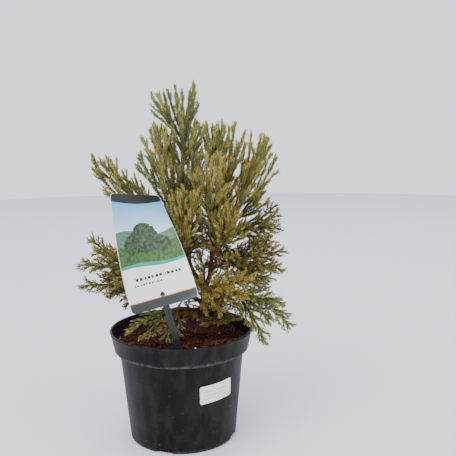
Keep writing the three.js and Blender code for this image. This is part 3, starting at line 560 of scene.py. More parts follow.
@dataclass
class Crown:
    """The plant's limbs and twigs, grown by the seeded rule from the stems' and the masses' sizes."""

    cell: float = 1.5
    label_room: float = 3.4
    stem_room: float = 3.0
    bough_room: float = 2.2
    bough_root: float = 1.9
    bough_per_length: float = 0.012
    bough_tip: float = 1.8
    bough_steps: int = 5
    bough_rounding: int = 8
    first_radius: float = 1.5
    main_radius: float = 1.3
    extra_radius: float = 1.2
    shoot_radius: float = 1.1
    tip_radius: float = 0.75
    extra_start: float = 3
    extra_spacing: float = 5
    lead_in: float = 0.42
    stagger: float = 7
    carry: float = 0.4
    plume_carry: float = -0.22
    on_stem_lean: float = 35
    trim: float = 3.5
    upturn: float = 0.3
    upturned_below: float = 50
    bare_below: float = 236
    skirt_below: float = 176
    upright_lift: float = 0.15
    underside: float = 0.5
    first: float = 0.08
    last: float = 0.93
    jitter: float = 0.6
    shortest: float = 8
    child_shortest: float = 4.5
    shortest_bearer: float = 16
    shortening: float = 0.22
    tries: int = 4
    elbow: float = 0.45
    side_radius: float = 0.95
    taper: float = 0.75
    shoot_length: float = 0.72
    shoot_lean: float = 12
    probe: float = 1.2
    main_leaving: float = 1.9
    side_leaving: float = 1.5
    near_root: float = 1.7
    pot_room: float = 1.8
    inner_pot_room: float = 1.6
    inner_mark: int = 10_000
    living_lean: float = 48
    dead_lean: float = 62
    living_lengths: Pair = (24, 48)
    dead_lengths: Pair = (10, 28)
    skirt_drop: float = 12
    low: Triple = (-150, -125, 128)
    high: Triple = (166, 165, 478)
    limbs: list[Limb] = field(default_factory=list)
    twigs: list[Twig] = field(default_factory=list)

    def grow(self, blocked: Array) -> None:
        """Grows every limb and twig.

        Args:
            blocked: points that twigs keep clear of.
        """
        self.rooms = Rooms(np.array(self.low), np.array(self.high), self.cell)
        self.rooms.take(blocked, self.label_room, -1)
        for name, sizes in STEMS.items():
            self.limbs.append(self.stem(name, sizes))
        for number, mass in enumerate(CROWN):
            self.main_twigs(number, mass)
        self.stem_tips()
        for parent in [twig for twig in self.twigs if not twig.has_core]:
            self.shoots(parent)
        for order in (1, 2):
            for twig in [twig for twig in self.twigs if twig.order == order]:
                self.side_twigs(twig)
        self.inner_twigs()

    def stem(self, name: str, sizes: StemSizes) -> Limb:
        """A stem's limb, with the roots' flare where it has one.

        Args:
            name: the stem's node.
            sizes: its sizes.

        Returns:
            The limb.
        """
        rows = sizes.stations(24)
        radii, depths = rows[:, 3].copy(), None
        if sizes.lobes:
            rise = (rows[:, 2] - rows[0, 2]) / sizes.flare_height
            share = np.clip(1 - rise, 0, 1) ** 2
            radii += sizes.flare_radius * share
            depths = sizes.lobe_depth * share
        self.rooms.take(rows[:, :3], self.stem_room, -2)
        return Limb(name, rows[:, :3], radii, sizes.lobes, depths)

    def keep(self, twig: Twig) -> None:
        """Keeps a twig and takes its room."""
        self.rooms.take(evenly(twig.path, 1.0), twig.habit.room, twig.mass + 1)
        self.twigs.append(twig)

    def bough(self, number: int, mass: Mass) -> Array:
        """Grows a mass's bough, which bends evenly over its length, and clads its outer part.

        Args:
            number: the mass's place in the crown.
            mass: the mass.

        Returns:
            The bough's points, from the stem's axis to the fork.
        """
        path = [mass.stem.point_at(mass.height)]
        for step in range(self.bough_steps):
            rise = mass.rise + mass.bend * ((step + 0.5) / self.bough_steps - 0.5)
            path.append(path[-1] + direction_of(mass.bearing, rise) * mass.bough / self.bough_steps)
        root_radius = self.bough_root + self.bough_per_length * mass.bough
        radii = np.linspace(root_radius, self.bough_tip, len(path))
        smooth = smooth_curve(np.column_stack([path, radii]), self.bough_rounding)
        self.limbs.append(Limb(f"{mass.name}_bough", smooth[:, :3], smooth[:, 3]))
        self.rooms.take(smooth[self.bough_rounding :, :3], self.bough_room, number + 1)
        clad = smooth[len(smooth) * (7 if mass.habit.is_spray else 3) // 10 :]
        self.twigs.append(Twig(number, 0, clad[:, :3], clad[:, 3], mass.tone, mass.habit, 40, False))
        return np.array(path)

    def main_twigs(self, number: int, mass: Mass) -> None:
        """Grows the main twigs of a mass: the first carries on from its bough, and the others leave it.

        Args:
            number: the mass's place in the crown.
            mass: the mass.
        """
        if mass.bough:
            bearer = self.bough(number, mass)
            out, stagger = unit(bearer[-1] - bearer[-2]), self.stagger
        elif mass.height:
            bearing, rise, _ = mass.twigs[0]
            bearer = mass.stem.point_at(mass.height)[None]
            out, stagger = direction_of(bearing, rise - self.on_stem_lean), 0
        else:
            bearer = mass.stem.stations()[:, :3]
            out, stagger = unit(bearer[-1] - bearer[-2]), 0
        carry, plans = self.carry if mass.habit.is_spray else self.plume_carry, []
        for order, (bearing, rise, length) in enumerate(mass.twigs):
            tip = bearer[-1] + direction_of(bearing, rise) * (length - self.trim)
            if mass.habit is RISING and rise < self.upturned_below:
                tip = tip + UP * length * self.upturn
            root = bearer[-1] - out * stagger * order
            way = unit(unit(tip - root) + out * carry) if order else out
            plans.append((order + 1, self.main_radius if order else self.first_radius, root, way, tip))
        back = bearer[::-1]
        for order, (bearing, rise, length) in enumerate(mass.more):
            root = point_on(back, lengths_along(back), self.extra_spacing * order + self.extra_start)
            heading = direction_of(bearing, rise)
            way, tip = unit(heading + out * carry), root + heading * length
            plans.append((order + 11, self.extra_radius, root, way, tip))
        for key, radius, root, way, tip in plans:
            elbow = root + way * np.linalg.norm(tip - root) * self.lead_in
            path = bend_through(root, elbow, tip, 14)
            radii = np.linspace(radius, self.tip_radius, len(path))
            self.keep(Twig(number, 1, path, radii, mass.tone, mass.habit, key))

    def side_twigs(self, parent: Twig) -> None:
        """Grows a twig's side twigs, each shortened or left out where it has no room.

        Args:
            parent: the twig that bears them.
        """
        along = lengths_along(parent.path)
        habit, length = parent.habit, along[-1]
        radius = self.side_radius * habit.needle_size
        if parent.order == 1:
            spacing, reach, added = habit.spacing, habit.reach, habit.added
            shortest, shortest_bearer = self.shortest, self.shortest_bearer
        else:
            spacing, reach, added = habit.child_spacing, habit.child_reach, habit.child_added
            shortest, shortest_bearer = self.child_shortest, habit.bears_from
            radius *= self.taper
        if length < shortest_bearer:
            return
        radii = np.linspace(radius, radius * self.taper, 9)
        count = int((self.last - self.first) * length / spacing) + 1
        for number in range(count):
            random = NumberStream(parent.mass, parent.key, number)
            share = self.first + (self.last - self.first) * (number + self.jitter * random.draw()) / count
            at, way = place_and_way(parent.path, along, share * length)
            ranked = math.radians(180 * (number % 2) + random.scattered(50))
            spiral = GOLDEN_ANGLE * number + math.radians(random.scattered(40))
            lean = math.radians(habit.angle - habit.fall * share + random.scattered(10))
            full = (1 - share) * length * reach * (1 + random.scattered(0.5)) + added
            full *= min(1, 0.6 + 2 * share)
            full = min(max(full, shortest), habit.longest, (1 - share) * length + 3)
            heading = leaning_from(way, level_beside(way), lean, ranked if habit.is_flat else spiral)
            if habit.lift > self.upright_lift:
                full *= 1 - self.underside * min(max(2 * (way[2] - heading[2]), 0), 1)
            path = self.bent_path(at, heading, way, full, habit.lift)
            order, key = parent.order + 1, parent.key * 100 + number
            self.keep_with_room(replace(parent, order=order, path=path, radii=radii, key=key), parent, 4)

    def bent_path(self, root: Array, heading: Array, way: Array, length: float, lift: float) -> Array:
        """A twig's root, elbow and tip: it sets out in a heading and bends back to its parent's way."""
        elbow, bent = root + heading * length * self.elbow, unit(heading + way * self.elbow + UP * lift)
        return np.array([root, elbow, elbow + bent * length * (1 - self.elbow)])

    def shortened(self, twig: Twig, scale: float) -> Array:
        """A side twig's smooth path at a share of its length, from its root, elbow and tip."""
        root, elbow, tip = twig.path
        return bend_through(root, root + (elbow - root) * scale, root + (tip - root) * scale, 8)

    def has_room(self, path: Array, parent: Twig) -> bool:
        """Whether a side twig is clear, once it has left its parent.

        Args:
            path: the side twig's points.
            parent: the twig that bears it.

        Returns:
            True where it has room.
        """
        points = evenly(path, self.probe)
        leaving = parent.habit.room * (self.main_leaving if parent.order <= 1 else self.side_leaving)
        distance = lengths_along(points)
        points, distance = points[distance > leaving], distance[distance > leaving]
        near_root = distance < leaving * self.near_root
        clear = len(points) > 0 and POT.clears(points, self.pot_room)
        return clear and self.rooms.is_free(points, near_root, parent.mass + 1)

    def shoots(self, parent: Twig) -> None:
        """Grows shoots along a clad limb, each shorter than the mass's main twigs.

        Args:
            parent: the clad limb.
        """
        habit, mass = parent.habit, CROWN[parent.mass]
        typical = sum(twig[2] for twig in mass.twigs) / len(mass.twigs) * self.shoot_length
        along = lengths_along(parent.path)
        count = max(int(along[-1] / habit.shoot_spacing), 1)
        for number in range(count):
            random = NumberStream(parent.mass, parent.key, 500 + number)
            place = along[-1] * (number + self.jitter * random.draw()) / count
            at, way = place_and_way(parent.path, along, place)
            ranked = math.radians(180 * (number % 2) + random.scattered(70))
            turn = ranked if habit.is_flat else GOLDEN_ANGLE * number + math.radians(random.scattered(50))
            lean = math.radians(habit.angle + self.shoot_lean + random.scattered(18))
            heading = leaning_from(way, level_beside(way), lean, turn)
            length = typical * (0.8 + 0.3 * place / along[-1] + random.scattered(0.3))
            path = self.bent_path(at, heading, way, length, habit.lift)
            radii = np.linspace(self.shoot_radius, self.tip_radius, 9)
            key = 50 + number + parent.key
            shoot = replace(parent, order=1, path=path, radii=radii, key=key, has_core=True)
            self.keep_with_room(shoot, parent, 18)

    def keep_with_room(self, twig: Twig, parent: Twig, shortest: float) -> None:
        """Keeps a twig at the first of its shortened lengths that has room.

        Args:
            twig: the twig at its full length.
            parent: the twig that bears it.
            shortest: the least length that is worth keeping.
        """
        for attempt in range(self.tries):
            path = self.shortened(twig, 1 - self.shortening * attempt)
            if lengths_along(path)[-1] < shortest:
                return
            if self.has_room(path, parent):
                self.keep(replace(twig, path=path))
                return

    def stem_tips(self) -> None:
        """Clads the stems' upper parts, from which shoots grow too."""
        for name, number, lowest in (("trunk", 0, 318), ("second_stem", 10, 292)):
            rows = STEMS[name].stations(12)
            rows = rows[rows[:, 2] > lowest]
            mass = CROWN[number]
            self.twigs.append(Twig(number, 0, rows[:, :3], rows[:, 3], mass.tone, mass.habit, 20, False))

    def inner_twigs(self) -> None:
        """Grows short twigs, alive or dead, along the stems and the inner boughs."""
        for number, limb in enumerate(self.limbs):
            along = lengths_along(limb.path)
            habit = ON_STEM if limb.node in STEMS else ON_BOUGH
            last = along[-1] * habit.last_share
            count = int((last - habit.first) / habit.spacing)
            for order in range(max(count, 0)):
                random = NumberStream(number, order, 900)
                place = habit.first + (last - habit.first) * (order + random.draw()) / count
                at, way = place_and_way(limb.path, along, place)
                is_high = habit is ON_STEM and at[2] > self.bare_below
                is_low = habit is ON_STEM and at[2] < self.skirt_below
                lives = order % (2 if is_high else habit.lives_every) == 0
                lean = math.radians((self.living_lean if lives else self.dead_lean) + random.scattered(40))
                heading = leaning_from(way, SIDE if abs(way[0]) < 0.9 else UP, lean, GOLDEN_ANGLE * order)
                length = random.between(*(self.living_lengths if lives or is_low else self.dead_lengths))
                tip = at + heading * length + UP * (random.scattered(10) - self.skirt_drop * is_low)
                path = bend_through(at, at + heading * length * 0.5 + UP * random.scattered(6), tip, 6)
                points = evenly(path, self.probe)[5:]
                clear = len(points) and POT.clears(points, self.inner_pot_room)
                if clear and self.rooms.is_free(points, np.zeros(len(points), bool), 0):
                    self.rooms.take(points, SPRAY.room, self.inner_mark + number)
                    radii = np.linspace(0.95 if lives else 0.7, 0.5, 7)
                    tone = Tone.GREEN if lives else Tone.DEAD
                    rank = 1 if lives or is_low else 2
                    mass = self.inner_mark + number - 1
                    self.twigs.append(Twig(mass, rank, path, radii, tone, SPRAY, 700 + order))
                    self.side_twigs(self.twigs[-1])


# Nodes


KINDS = {float: "Float", int: "Int", tuple: "Vector"}


def screen_light(value: float) -> float:
    """The linear light that materials use, of one channel as a screen shows it."""
    return value / 12.92 if value <= 0.04045 else ((value + 0.055) / 1.055) ** 2.4


def linear(colour: Any) -> Any:
    """A screen's colour as linear light, or a socket as it is."""
    return colour if isinstance(colour, NodeSocket) else (*map(screen_light, colour), 1.0)


def add_inputs(tree: NodeTree, inputs: dict[str, Any]) -> dict[str, str]:
    """Gives a tree its named inputs.

    Args:
        tree: the tree.
        inputs: each input's default by its name, or its kind of socket where it has no default.

    Returns:
        The sockets' identifiers by name.
    """
    keys = {}
    for name, default in inputs.items():
        has_default = not isinstance(default, str)
        kind = KINDS[type(default)] if has_default else default
        socket = tree.interface.new_socket(name=name, in_out="INPUT", socket_type=f"NodeSocket{kind}")
        if has_default:
            socket.default_value = default
        keys[name] = socket.identifier
    return keys


class Nodes:
    """A node tree in the making."""

    def __init__(self, tree: NodeTree) -> None:
        """Takes the tree to add to."""
        self.tree = tree

    def give(self, socket: Any, value: Any) -> None:
        """Links an input to a socket, or sets it to a value.

        Args:
            socket: the input.
            value: the socket or the value.
        """
        if isinstance(value, NodeSocket):
            self.tree.links.new(value, socket)
        else:
            socket.default_value = value

    def add(self, kind: str, inputs: dict[Any, Any] | None = None, **settings: Any) -> Any:
        """Adds a node.

        Args:
            kind: the node's type.
            inputs: a value or a socket for each input's name or number.
            settings: the node's own properties.

        Returns:
            The node's outputs.
        """
        node = self.tree.nodes.new(kind)
        for name, value in settings.items():
            setattr(node, name, value)
        for key, value in (inputs or {}).items():
            self.give(node.inputs[key], value)
        return node.outputs

    def maths(self, operation: str, *values: Any) -> Any:
        """A maths node's result."""
        return self.add("ShaderNodeMath", dict(enumerate(values)), operation=operation)[0]

    def times(self, first: Any, second: Any) -> Any:
        """One value times another."""
        return self.maths("MULTIPLY", first, second)

    def vector_maths(self, operation: str, first: Any, second: Any) -> Any:
        """A vector maths node's result."""
        key = "Scale" if operation == "SCALE" else 1
        return self.add("ShaderNodeVectorMath", {0: first, key: second}, operation=operation)[0]

    def vector(self, x: Any = 0.0, y: Any = 0.0, z: Any = 0.0) -> Any:
        """A vector of three numbers."""
        return self.add("ShaderNodeCombineXYZ", {0: x, 1: y, 2: z})[0]

    def place(self, space: str) -> Any:
        """Where the surface is, in the Object or UV coordinates."""
        return self.add("ShaderNodeTexCoord")[space]

    def ranged(self, value: Any, low: Any, high: Any, at_low: Any = 0.0, at_high: Any = 1.0) -> Any:
        """A value carried over from one range to another, and held inside it."""
        limits = {"From Min": low, "From Max": high, "To Min": at_low, "To Max": at_high}
        return self.add("ShaderNodeMapRange", {"Value": value, **limits})[0]

    def mixed(self, factor: Any, first: Any, second: Any) -> Any:
        """A colour mixed from two by a factor, each a value or a socket."""
        inputs = {0: factor, 6: linear(first), 7: linear(second)}
        return self.add("ShaderNodeMix", inputs, data_type="RGBA")[2]

    def mottle(self, **inputs: Any) -> Any:
        """The value of the shared mottle, placed with inputs of its own."""
        return self.add("ShaderNodeGroup", {k.title(): v for k, v in inputs.items()}, node_tree=mottle())[0]

    def specks(self, **inputs: Any) -> Any:
        """The value of the shared specks, placed with inputs of its own."""
        return self.add("ShaderNodeGroup", {k.title(): v for k, v in inputs.items()}, node_tree=specks())[0]


def start_group(name: str, inputs: dict[str, Any]) -> tuple[Nodes, Any]:
    """An empty shader group with named inputs and one output value.

    Args:
        name: the group's name.
        inputs: each input's default by its name.

    Returns:
        The tree to add to, and the input node's sockets.
    """
    nodes = Nodes(bpy.data.node_groups.new(name, "ShaderNodeTree"))
    add_inputs(nodes.tree, inputs)
    nodes.tree.interface.new_socket(name="Value", in_out="OUTPUT", socket_type="NodeSocketFloat")
    return nodes, nodes.add("NodeGroupInput")


@cache
def mottle() -> NodeTree:
    """Soft patches: a value that drifts over the surface between two limits.

    Returns:
        The shared group.
    """
    defaults = {"Scale": 40.0, "Stretch": (1.0, 1.0, 1.0), "Low": 0.0, "High": 1.0, "Sharpness": 0.2}
    nodes, given = start_group("mottle", defaults)
    placed = nodes.vector_maths("MULTIPLY", nodes.place("Object"), given["Stretch"])
    noise_inputs = {"Vector": placed, "Scale": given["Scale"], "Detail": 5.0, "Roughness": 0.6}
    cloud = nodes.add("ShaderNodeTexNoise", noise_inputs)["Fac"]
    low, high = (nodes.maths(way, 0.5, given["Sharpness"]) for way in ("SUBTRACT", "ADD"))
    nodes.add("NodeGroupOutput", {0: nodes.ranged(cloud, low, high, given["Low"], given["High"])})
    return nodes.tree


@cache
def specks() -> NodeTree:
    """Small separate specks: 1 on each speck and 0 between them.

    Returns:
        The shared group.
    """
    nodes, given = start_group("specks", {"Scale": 200.0, "Size": 0.2, "Share": 0.3})
    cells = nodes.add("ShaderNodeTexVoronoi", {"Vector": nodes.place("Object"), "Scale": given["Scale"]})
    near = nodes.maths("LESS_THAN", cells["Distance"], given["Size"])
    number = nodes.add("ShaderNodeSeparateColor", {0: cells["Color"]})[0]
    chosen = nodes.maths("LESS_THAN", number, given["Share"])
    nodes.add("NodeGroupOutput", {0: nodes.times(near, chosen)})
    return nodes.tree


class Paint(Nodes):
    """A material in the making, round its Principled BSDF."""

    def __init__(self, name: str) -> None:
        """Starts the material.

        Args:
            name: its name.
        """
        self.material = bpy.data.materials.new(name)
        self.material.use_nodes = True
        super().__init__(self.material.node_tree)
        self.shader = self.tree.nodes["Principled BSDF"]

    def bump(self, height: Any, strength: float, distance: float) -> None:
        """Gives the shader a bump from a height."""
        bump = self.add("ShaderNodeBump", {"Strength": strength, "Distance": distance, "Height": height})
        self.give(self.shader.inputs["Normal"], bump[0])

    def finish(self, colour: Any, roughness: Any, specular: float | None = None) -> Material:
        """Gives the shader its colour, roughness and gloss.

        Args:
            colour: a socket, or a colour as a screen shows it.
            roughness: a socket or a value.
            specular: the specular level, where it isn't the usual one.

        Returns:
            The material.
        """
        self.give(self.shader.inputs["Base Color"], linear(colour))
        self.give(self.shader.inputs["Roughness"], roughness)
        if specular is not None:
            self.shader.inputs["Specular IOR Level"].default_value = specular
        return self.material


@dataclass(frozen=True)
class NeedleFinish:
    """A needle's waxy skin, in one plain colour for each tint, and the limits of its roughness."""

    low: float = 0.42
    high: float = 0.68
    specular: float = 0.22

    def build(self, tint: Tint) -> Material:
        """Makes the material of a tint."""
        skin = Paint(f"needles_{tint.name.lower()}")
        return skin.finish(tint.value, skin.mottle(scale=600.0, low=self.low, high=self.high), self.specular)


@dataclass(frozen=True)
class BarkFinish:
    """Fibrous bark: two browns in long streaks, with furrows."""

    name: str
    dark: Triple
    light: Triple
    streak_scale: float = 900.0
    shade: float = 0.55

    def build(self) -> Material:
        """Makes the material.

        Returns:
            The material.
        """
        paint = Paint(self.name)
        streaks = paint.mottle(scale=self.streak_scale, stretch=(1.0, 1.0, 0.16), sharpness=0.16)
        patches = paint.mottle(scale=160.0, sharpness=0.22, high=0.55)
        base = paint.mixed(streaks, self.dark, self.light)
        colour = paint.mixed(patches, base, [self.shade * c for c in self.dark])
        paint.bump(streaks, 0.5, 0.0004)
        return paint.finish(colour, paint.mottle(scale=500.0, low=0.7, high=0.95))


@dataclass(frozen=True)
class PotFinish:
    """Black moulded plastic with painted warm reflections in long upright streaks, pale dust on the collar's
    lower edge, scuffs and specks of soil.
    """

    plastic: Triple = (0.036, 0.033, 0.034)
    # the colour of the painted warm reflection, laid in long upright streaks over the black plastic
    painted_warm_reflection: Triple = (0.085, 0.062, 0.055)
    dust: Triple = (0.44, 0.44, 0.44)
    specular: float = 0.13
    collar_foot: float = 0.1195
    thinnest: float = 0.0022
    widest: float = 0.0085
    foot_reach: float = 0.006
    foot_dust: float = 0.5

    def build(self) -> Material:
        """Makes the material.

        Returns:
            The material.
        """
        paint = Paint("pot_plastic")
        height = paint.add("ShaderNodeSeparateXYZ", {0: paint.place("Object")})["Z"]
        # painted reflection: long upright streaks of warm brown mixed into the black plastic stand in for a
        # reflection
        patches = paint.mottle(scale=22.0, stretch=(1.0, 1.0, 0.12), sharpness=0.2)
        base = paint.mixed(patches, self.plastic, self.painted_warm_reflection)
        held = self.dust_mask(paint, height)
        matt = paint.times(held, 0.35)
        rough = paint.mottle(scale=90.0, stretch=(1.0, 1.0, 0.3), low=0.38, high=0.54, sharpness=0.3)
        paint.bump(paint.mottle(scale=900.0, sharpness=0.3), 0.12, 0.0002)
        colour = paint.mixed(held, base, self.dust)
        return paint.finish(colour, paint.maths("ADD", rough, matt), self.specular)

    def dust_mask(self, paint: Paint, height: Any) -> Any:
        """How dusty the pot is, from 0 to 1: a ragged ledge, the foot, a film and two sizes of specks.

        Args:
            paint: the material in the making.
            height: the height above the floor.

        Returns:
            The mask's socket.
        """
        low, high = self.collar_foot + self.thinnest, self.collar_foot + self.widest
        reach = paint.mottle(scale=26.0, stretch=(1.0, 1.0, 0.0), sharpness=0.2, low=low, high=high)
        rise = paint.ranged(height, self.collar_foot, reach, 1.0, 0.0)
        ledge = paint.times(rise, paint.maths("GREATER_THAN", height, self.collar_foot - 0.0015))
        streaks = paint.mottle(scale=160.0, stretch=(1.0, 1.0, 0.22), sharpness=0.14, low=0.1, high=0.75)
        film = paint.mottle(scale=70.0, stretch=(1.0, 1.0, 0.4), sharpness=0.3, low=-0.06, high=0.1)
        dusty = paint.maths("ADD", paint.times(ledge, streaks), film)
        foot = paint.ranged(height, 0.0005, self.foot_reach, self.foot_dust, 0.0)
        crumbs = paint.specks(scale=260.0, size=0.16, share=0.12)
        bits = paint.specks(scale=110.0, size=0.12, share=0.1)
        for mask, amount in ((foot, streaks), (crumbs, 0.34), (bits, 0.6)):
            dusty = paint.maths("MAXIMUM", dusty, paint.times(mask, amount))
        return paint.add("ShaderNodeClamp", {0: dusty})[0]


@dataclass(frozen=True)
class EarthFinish:
    """Peat, bark chips or grains: two colours in patches over a rough skin."""

    name: str
    dark: Triple
    light: Triple
    scale: float = 220.0
    bump: float = 0.7
    specular: float = 0.12

    def build(self) -> Material:
        """Makes the material.

        Returns:
            The material.
        """
        paint = Paint(self.name)
        patches = paint.mottle(scale=self.scale, sharpness=0.16)
        rough = paint.mottle(scale=self.scale * 2, low=0.8, high=1.0)
        paint.bump(paint.mottle(scale=self.scale * 3), self.bump, 0.0006)
        return paint.finish(paint.mixed(patches, self.dark, self.light), rough, self.specular)


def plain_material(name: str, colour: Sequence[float], roughness: float) -> Material:
    """A plain surface whose roughness drifts a little."""
    paint = Paint(name)
    return paint.finish(colour, paint.mottle(scale=60.0, low=roughness - 0.06, high=roughness + 0.08))


class Print(Paint):
    """Plain printed shapes, laid over each other on a sheet by its UV map."""

    def __init__(self, name: str, paper: Triple, shape: float = 1.0) -> None:
        """Starts with a bare sheet.

        Args:
            name: the material's name.
            paper: the sheet's colour.
            shape: the sheet's height over its width.
        """
        super().__init__(name)
        parts = self.add("ShaderNodeSeparateXYZ", {0: self.place("UV")})
        self.across, self.up = parts["X"], parts["Y"]
        self.colour, self.shape = paper, shape

    def inside(self, value: Any, low: float, high: float) -> Any:
        """1 where a value lies between two limits."""
        above, below = self.maths("GREATER_THAN", value, low), self.maths("LESS_THAN", value, high)
        return self.times(above, below)

    def lay(self, mask: Any, colour: Any) -> None:
        """Lays a colour over what is there, where the mask is 1."""
        self.colour = self.mixed(mask, self.colour, colour)

    def bar(self, across: Pair, up: Pair, colour: Any, breaks: float = 0) -> None:
        """Lays a bar.

        Args:
            across: its limits across.
            up: its limits up.
            colour: its colour.
            breaks: how many strokes it is broken into, 0 for none.
        """
        mask = self.times(self.inside(self.across, *across), self.inside(self.up, *up))
        for rate, share in ((breaks, 0.74), (breaks * 0.38, 0.86)) if breaks else ():
            saw = self.maths("FRACT", self.times(self.across, rate))
            mask = self.times(mask, self.maths("LESS_THAN", saw, share))
        self.lay(mask, colour)

    def below_wave(self, level: float, height: float, waves: float, start: float, colour: Any) -> None:
        """Covers all that is below a wavy edge.

        Args:
            level: the edge's level.
            height: its waves' height.
            waves: how many cross the sheet.
            start: where the first begins, in radians.
            colour: the colour.
        """
        turn = self.maths("ADD", self.times(self.across, waves * math.tau), start)
        edge = self.maths("ADD", self.times(self.maths("SINE", turn), height), level)
        self.lay(self.maths("GREATER_THAN", edge, self.up), colour)

    def disc(self, place: Pair, radius: float, colour: Any, rag: Any = 0.0) -> None:
        """Lays a round shape.

        Args:
            place: its centre, across and up.
            radius: its radius, as a share of the sheet's width.
            colour: its colour.
            rag: what frays its edge, a socket or 0.
        """
        x = self.maths("POWER", self.maths("SUBTRACT", self.across, place[0]), 2.0)
        y = self.maths("POWER", self.times(self.maths("SUBTRACT", self.up, place[1]), self.shape), 2.0)
        away = self.maths("ADD", self.maths("SQRT", self.maths("ADD", x, y)), rag)
        self.lay(self.maths("LESS_THAN", away, radius), colour)


@dataclass(frozen=True)
class LabelFinish:
    """The label's print, of a plain design: hills, round shrubs, a green wave and two rows of strokes."""

    shape: float = 1.68
    paper: Triple = (0.93, 0.93, 0.92)
    edge: Triple = (0.80, 0.81, 0.81)
    shrubs: tuple[Triple, ...] = ((0.25, 0.57, 0.16), (0.73, 0.55, 0.14), (0.47, 0.62, 0.24))

    def build(self) -> Material:
        """Makes the material.

        Returns:
            The material.
        """
        ink = Print("label_print", (0.11, 0.12, 0.13), self.shape)
        sky = ink.mixed(ink.ranged(ink.up, 0.6, 0.93), (0.84, 0.92, 0.95), (0.34, 0.66, 0.86))
        ink.below_wave(0.942, -0.024, 0.5, 0.0, sky)
        leaves = ink.mottle(scale=260.0, sharpness=0.12)
        far = ink.mixed(leaves, (0.25, 0.40, 0.32), (0.37, 0.50, 0.40))
        bush = ink.mixed(leaves, (0.05, 0.13, 0.07), (0.24, 0.36, 0.21))
        lawn = ink.mixed(leaves, (0.15, 0.29, 0.11), (0.28, 0.43, 0.18))
        ink.below_wave(0.67, 0.03, 1.0, 0.6, far)
        ink.below_wave(0.56, 0.02, 0.8, 2.4, lawn)
        rag = ink.times(ink.mottle(scale=320.0, sharpness=0.2), 0.035)
        for across, up, radius in self.shrubs:
            ink.disc((across, up), radius, bush, rag)
        ink.below_wave(0.47, 0.016, 0.7, 1.2, lawn)
        ink.below_wave(0.405, 0.012, 1.0, 0.0, (0.10, 0.60, 0.55))
        ink.below_wave(0.375, 0.012, 1.0, 0.5, self.paper)
        ink.bar((0.14, 0.86), (0.268, 0.292), (0.14, 0.14, 0.15), 17.0)
        ink.bar((0.14, 0.56), (0.222, 0.237), (0.30, 0.30, 0.31), 23.0)
        ink.bar((0.0, 1.0), (0.083, 0.091), (0.88, 0.50, 0.22))
        ink.bar((0.0, 1.0), (-1.0, 0.083), (0.20, 0.205, 0.21))
        ink.disc((0.5, 0.1065), 0.036, (0.16, 0.16, 0.17))
        for limits in ((-1.0, 0.007), (0.993, 2.0)):
            ink.bar(limits, (0.0, 1.0), self.edge)
        return ink.finish(ink.colour, ink.mottle(scale=30.0, low=0.32, high=0.46, sharpness=0.3))


@dataclass(frozen=True)
class StickerFinish:
    """A sticker of cream paper, bare but for three thin rules."""

    paper: Triple = (0.93, 0.90, 0.86)

    def build(self) -> Material:
        """Makes the material.

        Returns:
            The material.
        """
        ink = Print("sticker_paper", self.paper)
        for up in (0.26, 0.44, 0.62):
            ink.bar((0.1, 0.9), (up, up + 0.025), (0.62, 0.60, 0.58))
        ink.bump(ink.mottle(scale=300.0, sharpness=0.3), 0.15, 0.0002)
        return ink.finish(ink.colour, 0.6)


# Meshes


def new_piece(name: str, mesh: Mesh, *finishes: Material) -> Object:
    """A mesh as an object of the scene, at the origin.

    Args:
        name: the object's name.
        mesh: its mesh.
        finishes: its materials, in order.

    Returns:
        The object.
    """
    piece = bpy.data.objects.new(name, mesh)
    bpy.context.scene.collection.objects.link(piece)
    for finish in finishes:
        mesh.materials.append(finish)
    return piece


def mesh_from(name: str, points: Array, faces: Any, smooth: bool = True) -> Mesh:
    """A mesh whose faces point outwards.

    Args:
        name: the mesh's name.
        points: its points in millimetres.
        faces: the numbers of each face's points.
        smooth: whether its faces are shaded smooth.

    Returns:
        The mesh, in metres.
    """
    mesh = bpy.data.meshes.new(name)
    mesh.from_pydata((points * MM).tolist(), [], [list(map(int, face)) for face in faces])
    mesh.validate()
    shape = bmesh.new()
    shape.from_mesh(mesh)
    bmesh.ops.recalc_face_normals(shape, faces=shape.faces)
    shape.to_mesh(mesh)
    shape.free()
    mesh.polygons.foreach_set("use_smooth", [smooth] * len(mesh.polygons))
    mesh.update()
    return mesh


def settled(host: Object, name: str) -> Object:
    """Takes a host's evaluated result as a plain piece, and removes the host.

    Args:
        host: the object with modifiers.
        name: the piece's name.

    Returns:
        The piece.
    """
    graph = bpy.context.evaluated_depsgraph_get()
    mesh = bpy.data.meshes.new_from_object(host.evaluated_get(graph), depsgraph=graph)
    mesh.name = name
    bpy.data.objects.remove(host)
    return new_piece(name, mesh)


def cut_out(piece: Object, cutters: Sequence[Object], name: str) -> Object:
    """Cuts other pieces out of a piece, and removes them.

    Args:
        piece: the piece to cut.
        cutters: what is cut out of it.
        name: the finished piece's name.

    Returns:
        The finished piece.
    """
    for cutter in cutters:
        cut = piece.modifiers.new("cut", "BOOLEAN")
        cut.object, cut.operation, cut.solver = cutter, "DIFFERENCE", "EXACT"
    piece = settled(piece, name)
    for cutter in cutters:
        bpy.data.objects.remove(cutter)
    return piece


def finish_piece(piece: Object, slot: str, nodes: Sequence[str] = ()) -> None:
    """Lets a piece ride on the plant's body.

    Args:
        piece: the piece.
        slot: not used.
        nodes: the nodes that it stands for.
    """
    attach(piece, BODY)
    if nodes:
        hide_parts(*nodes)
    triangles = sum(len(face.vertices) - 2 for face in piece.data.polygons)
    log.info("%s: %d triangles", piece.name, triangles)


def circle(radius: float, height: float, segments: int) -> Array:
    """A level ring of points round the upright axis, or the one point on it where the radius is 0."""
    turns = math.tau * np.arange(segments if radius else 1) / segments
    return np.stack([radius * np.cos(turns), radius * np.sin(turns), 0 * turns + height], axis=1)


def arc(centre: Pair, radius: float, start: float, end: float, steps: int) -> list[Pair]:
    """Points of a profile's rounding, from a start to an end angle in degrees."""
    turns = [math.radians(start + (end - start) * step / steps) for step in range(steps + 1)]
    return [(centre[0] + radius * math.cos(turn), centre[1] + radius * math.sin(turn)) for turn in turns]


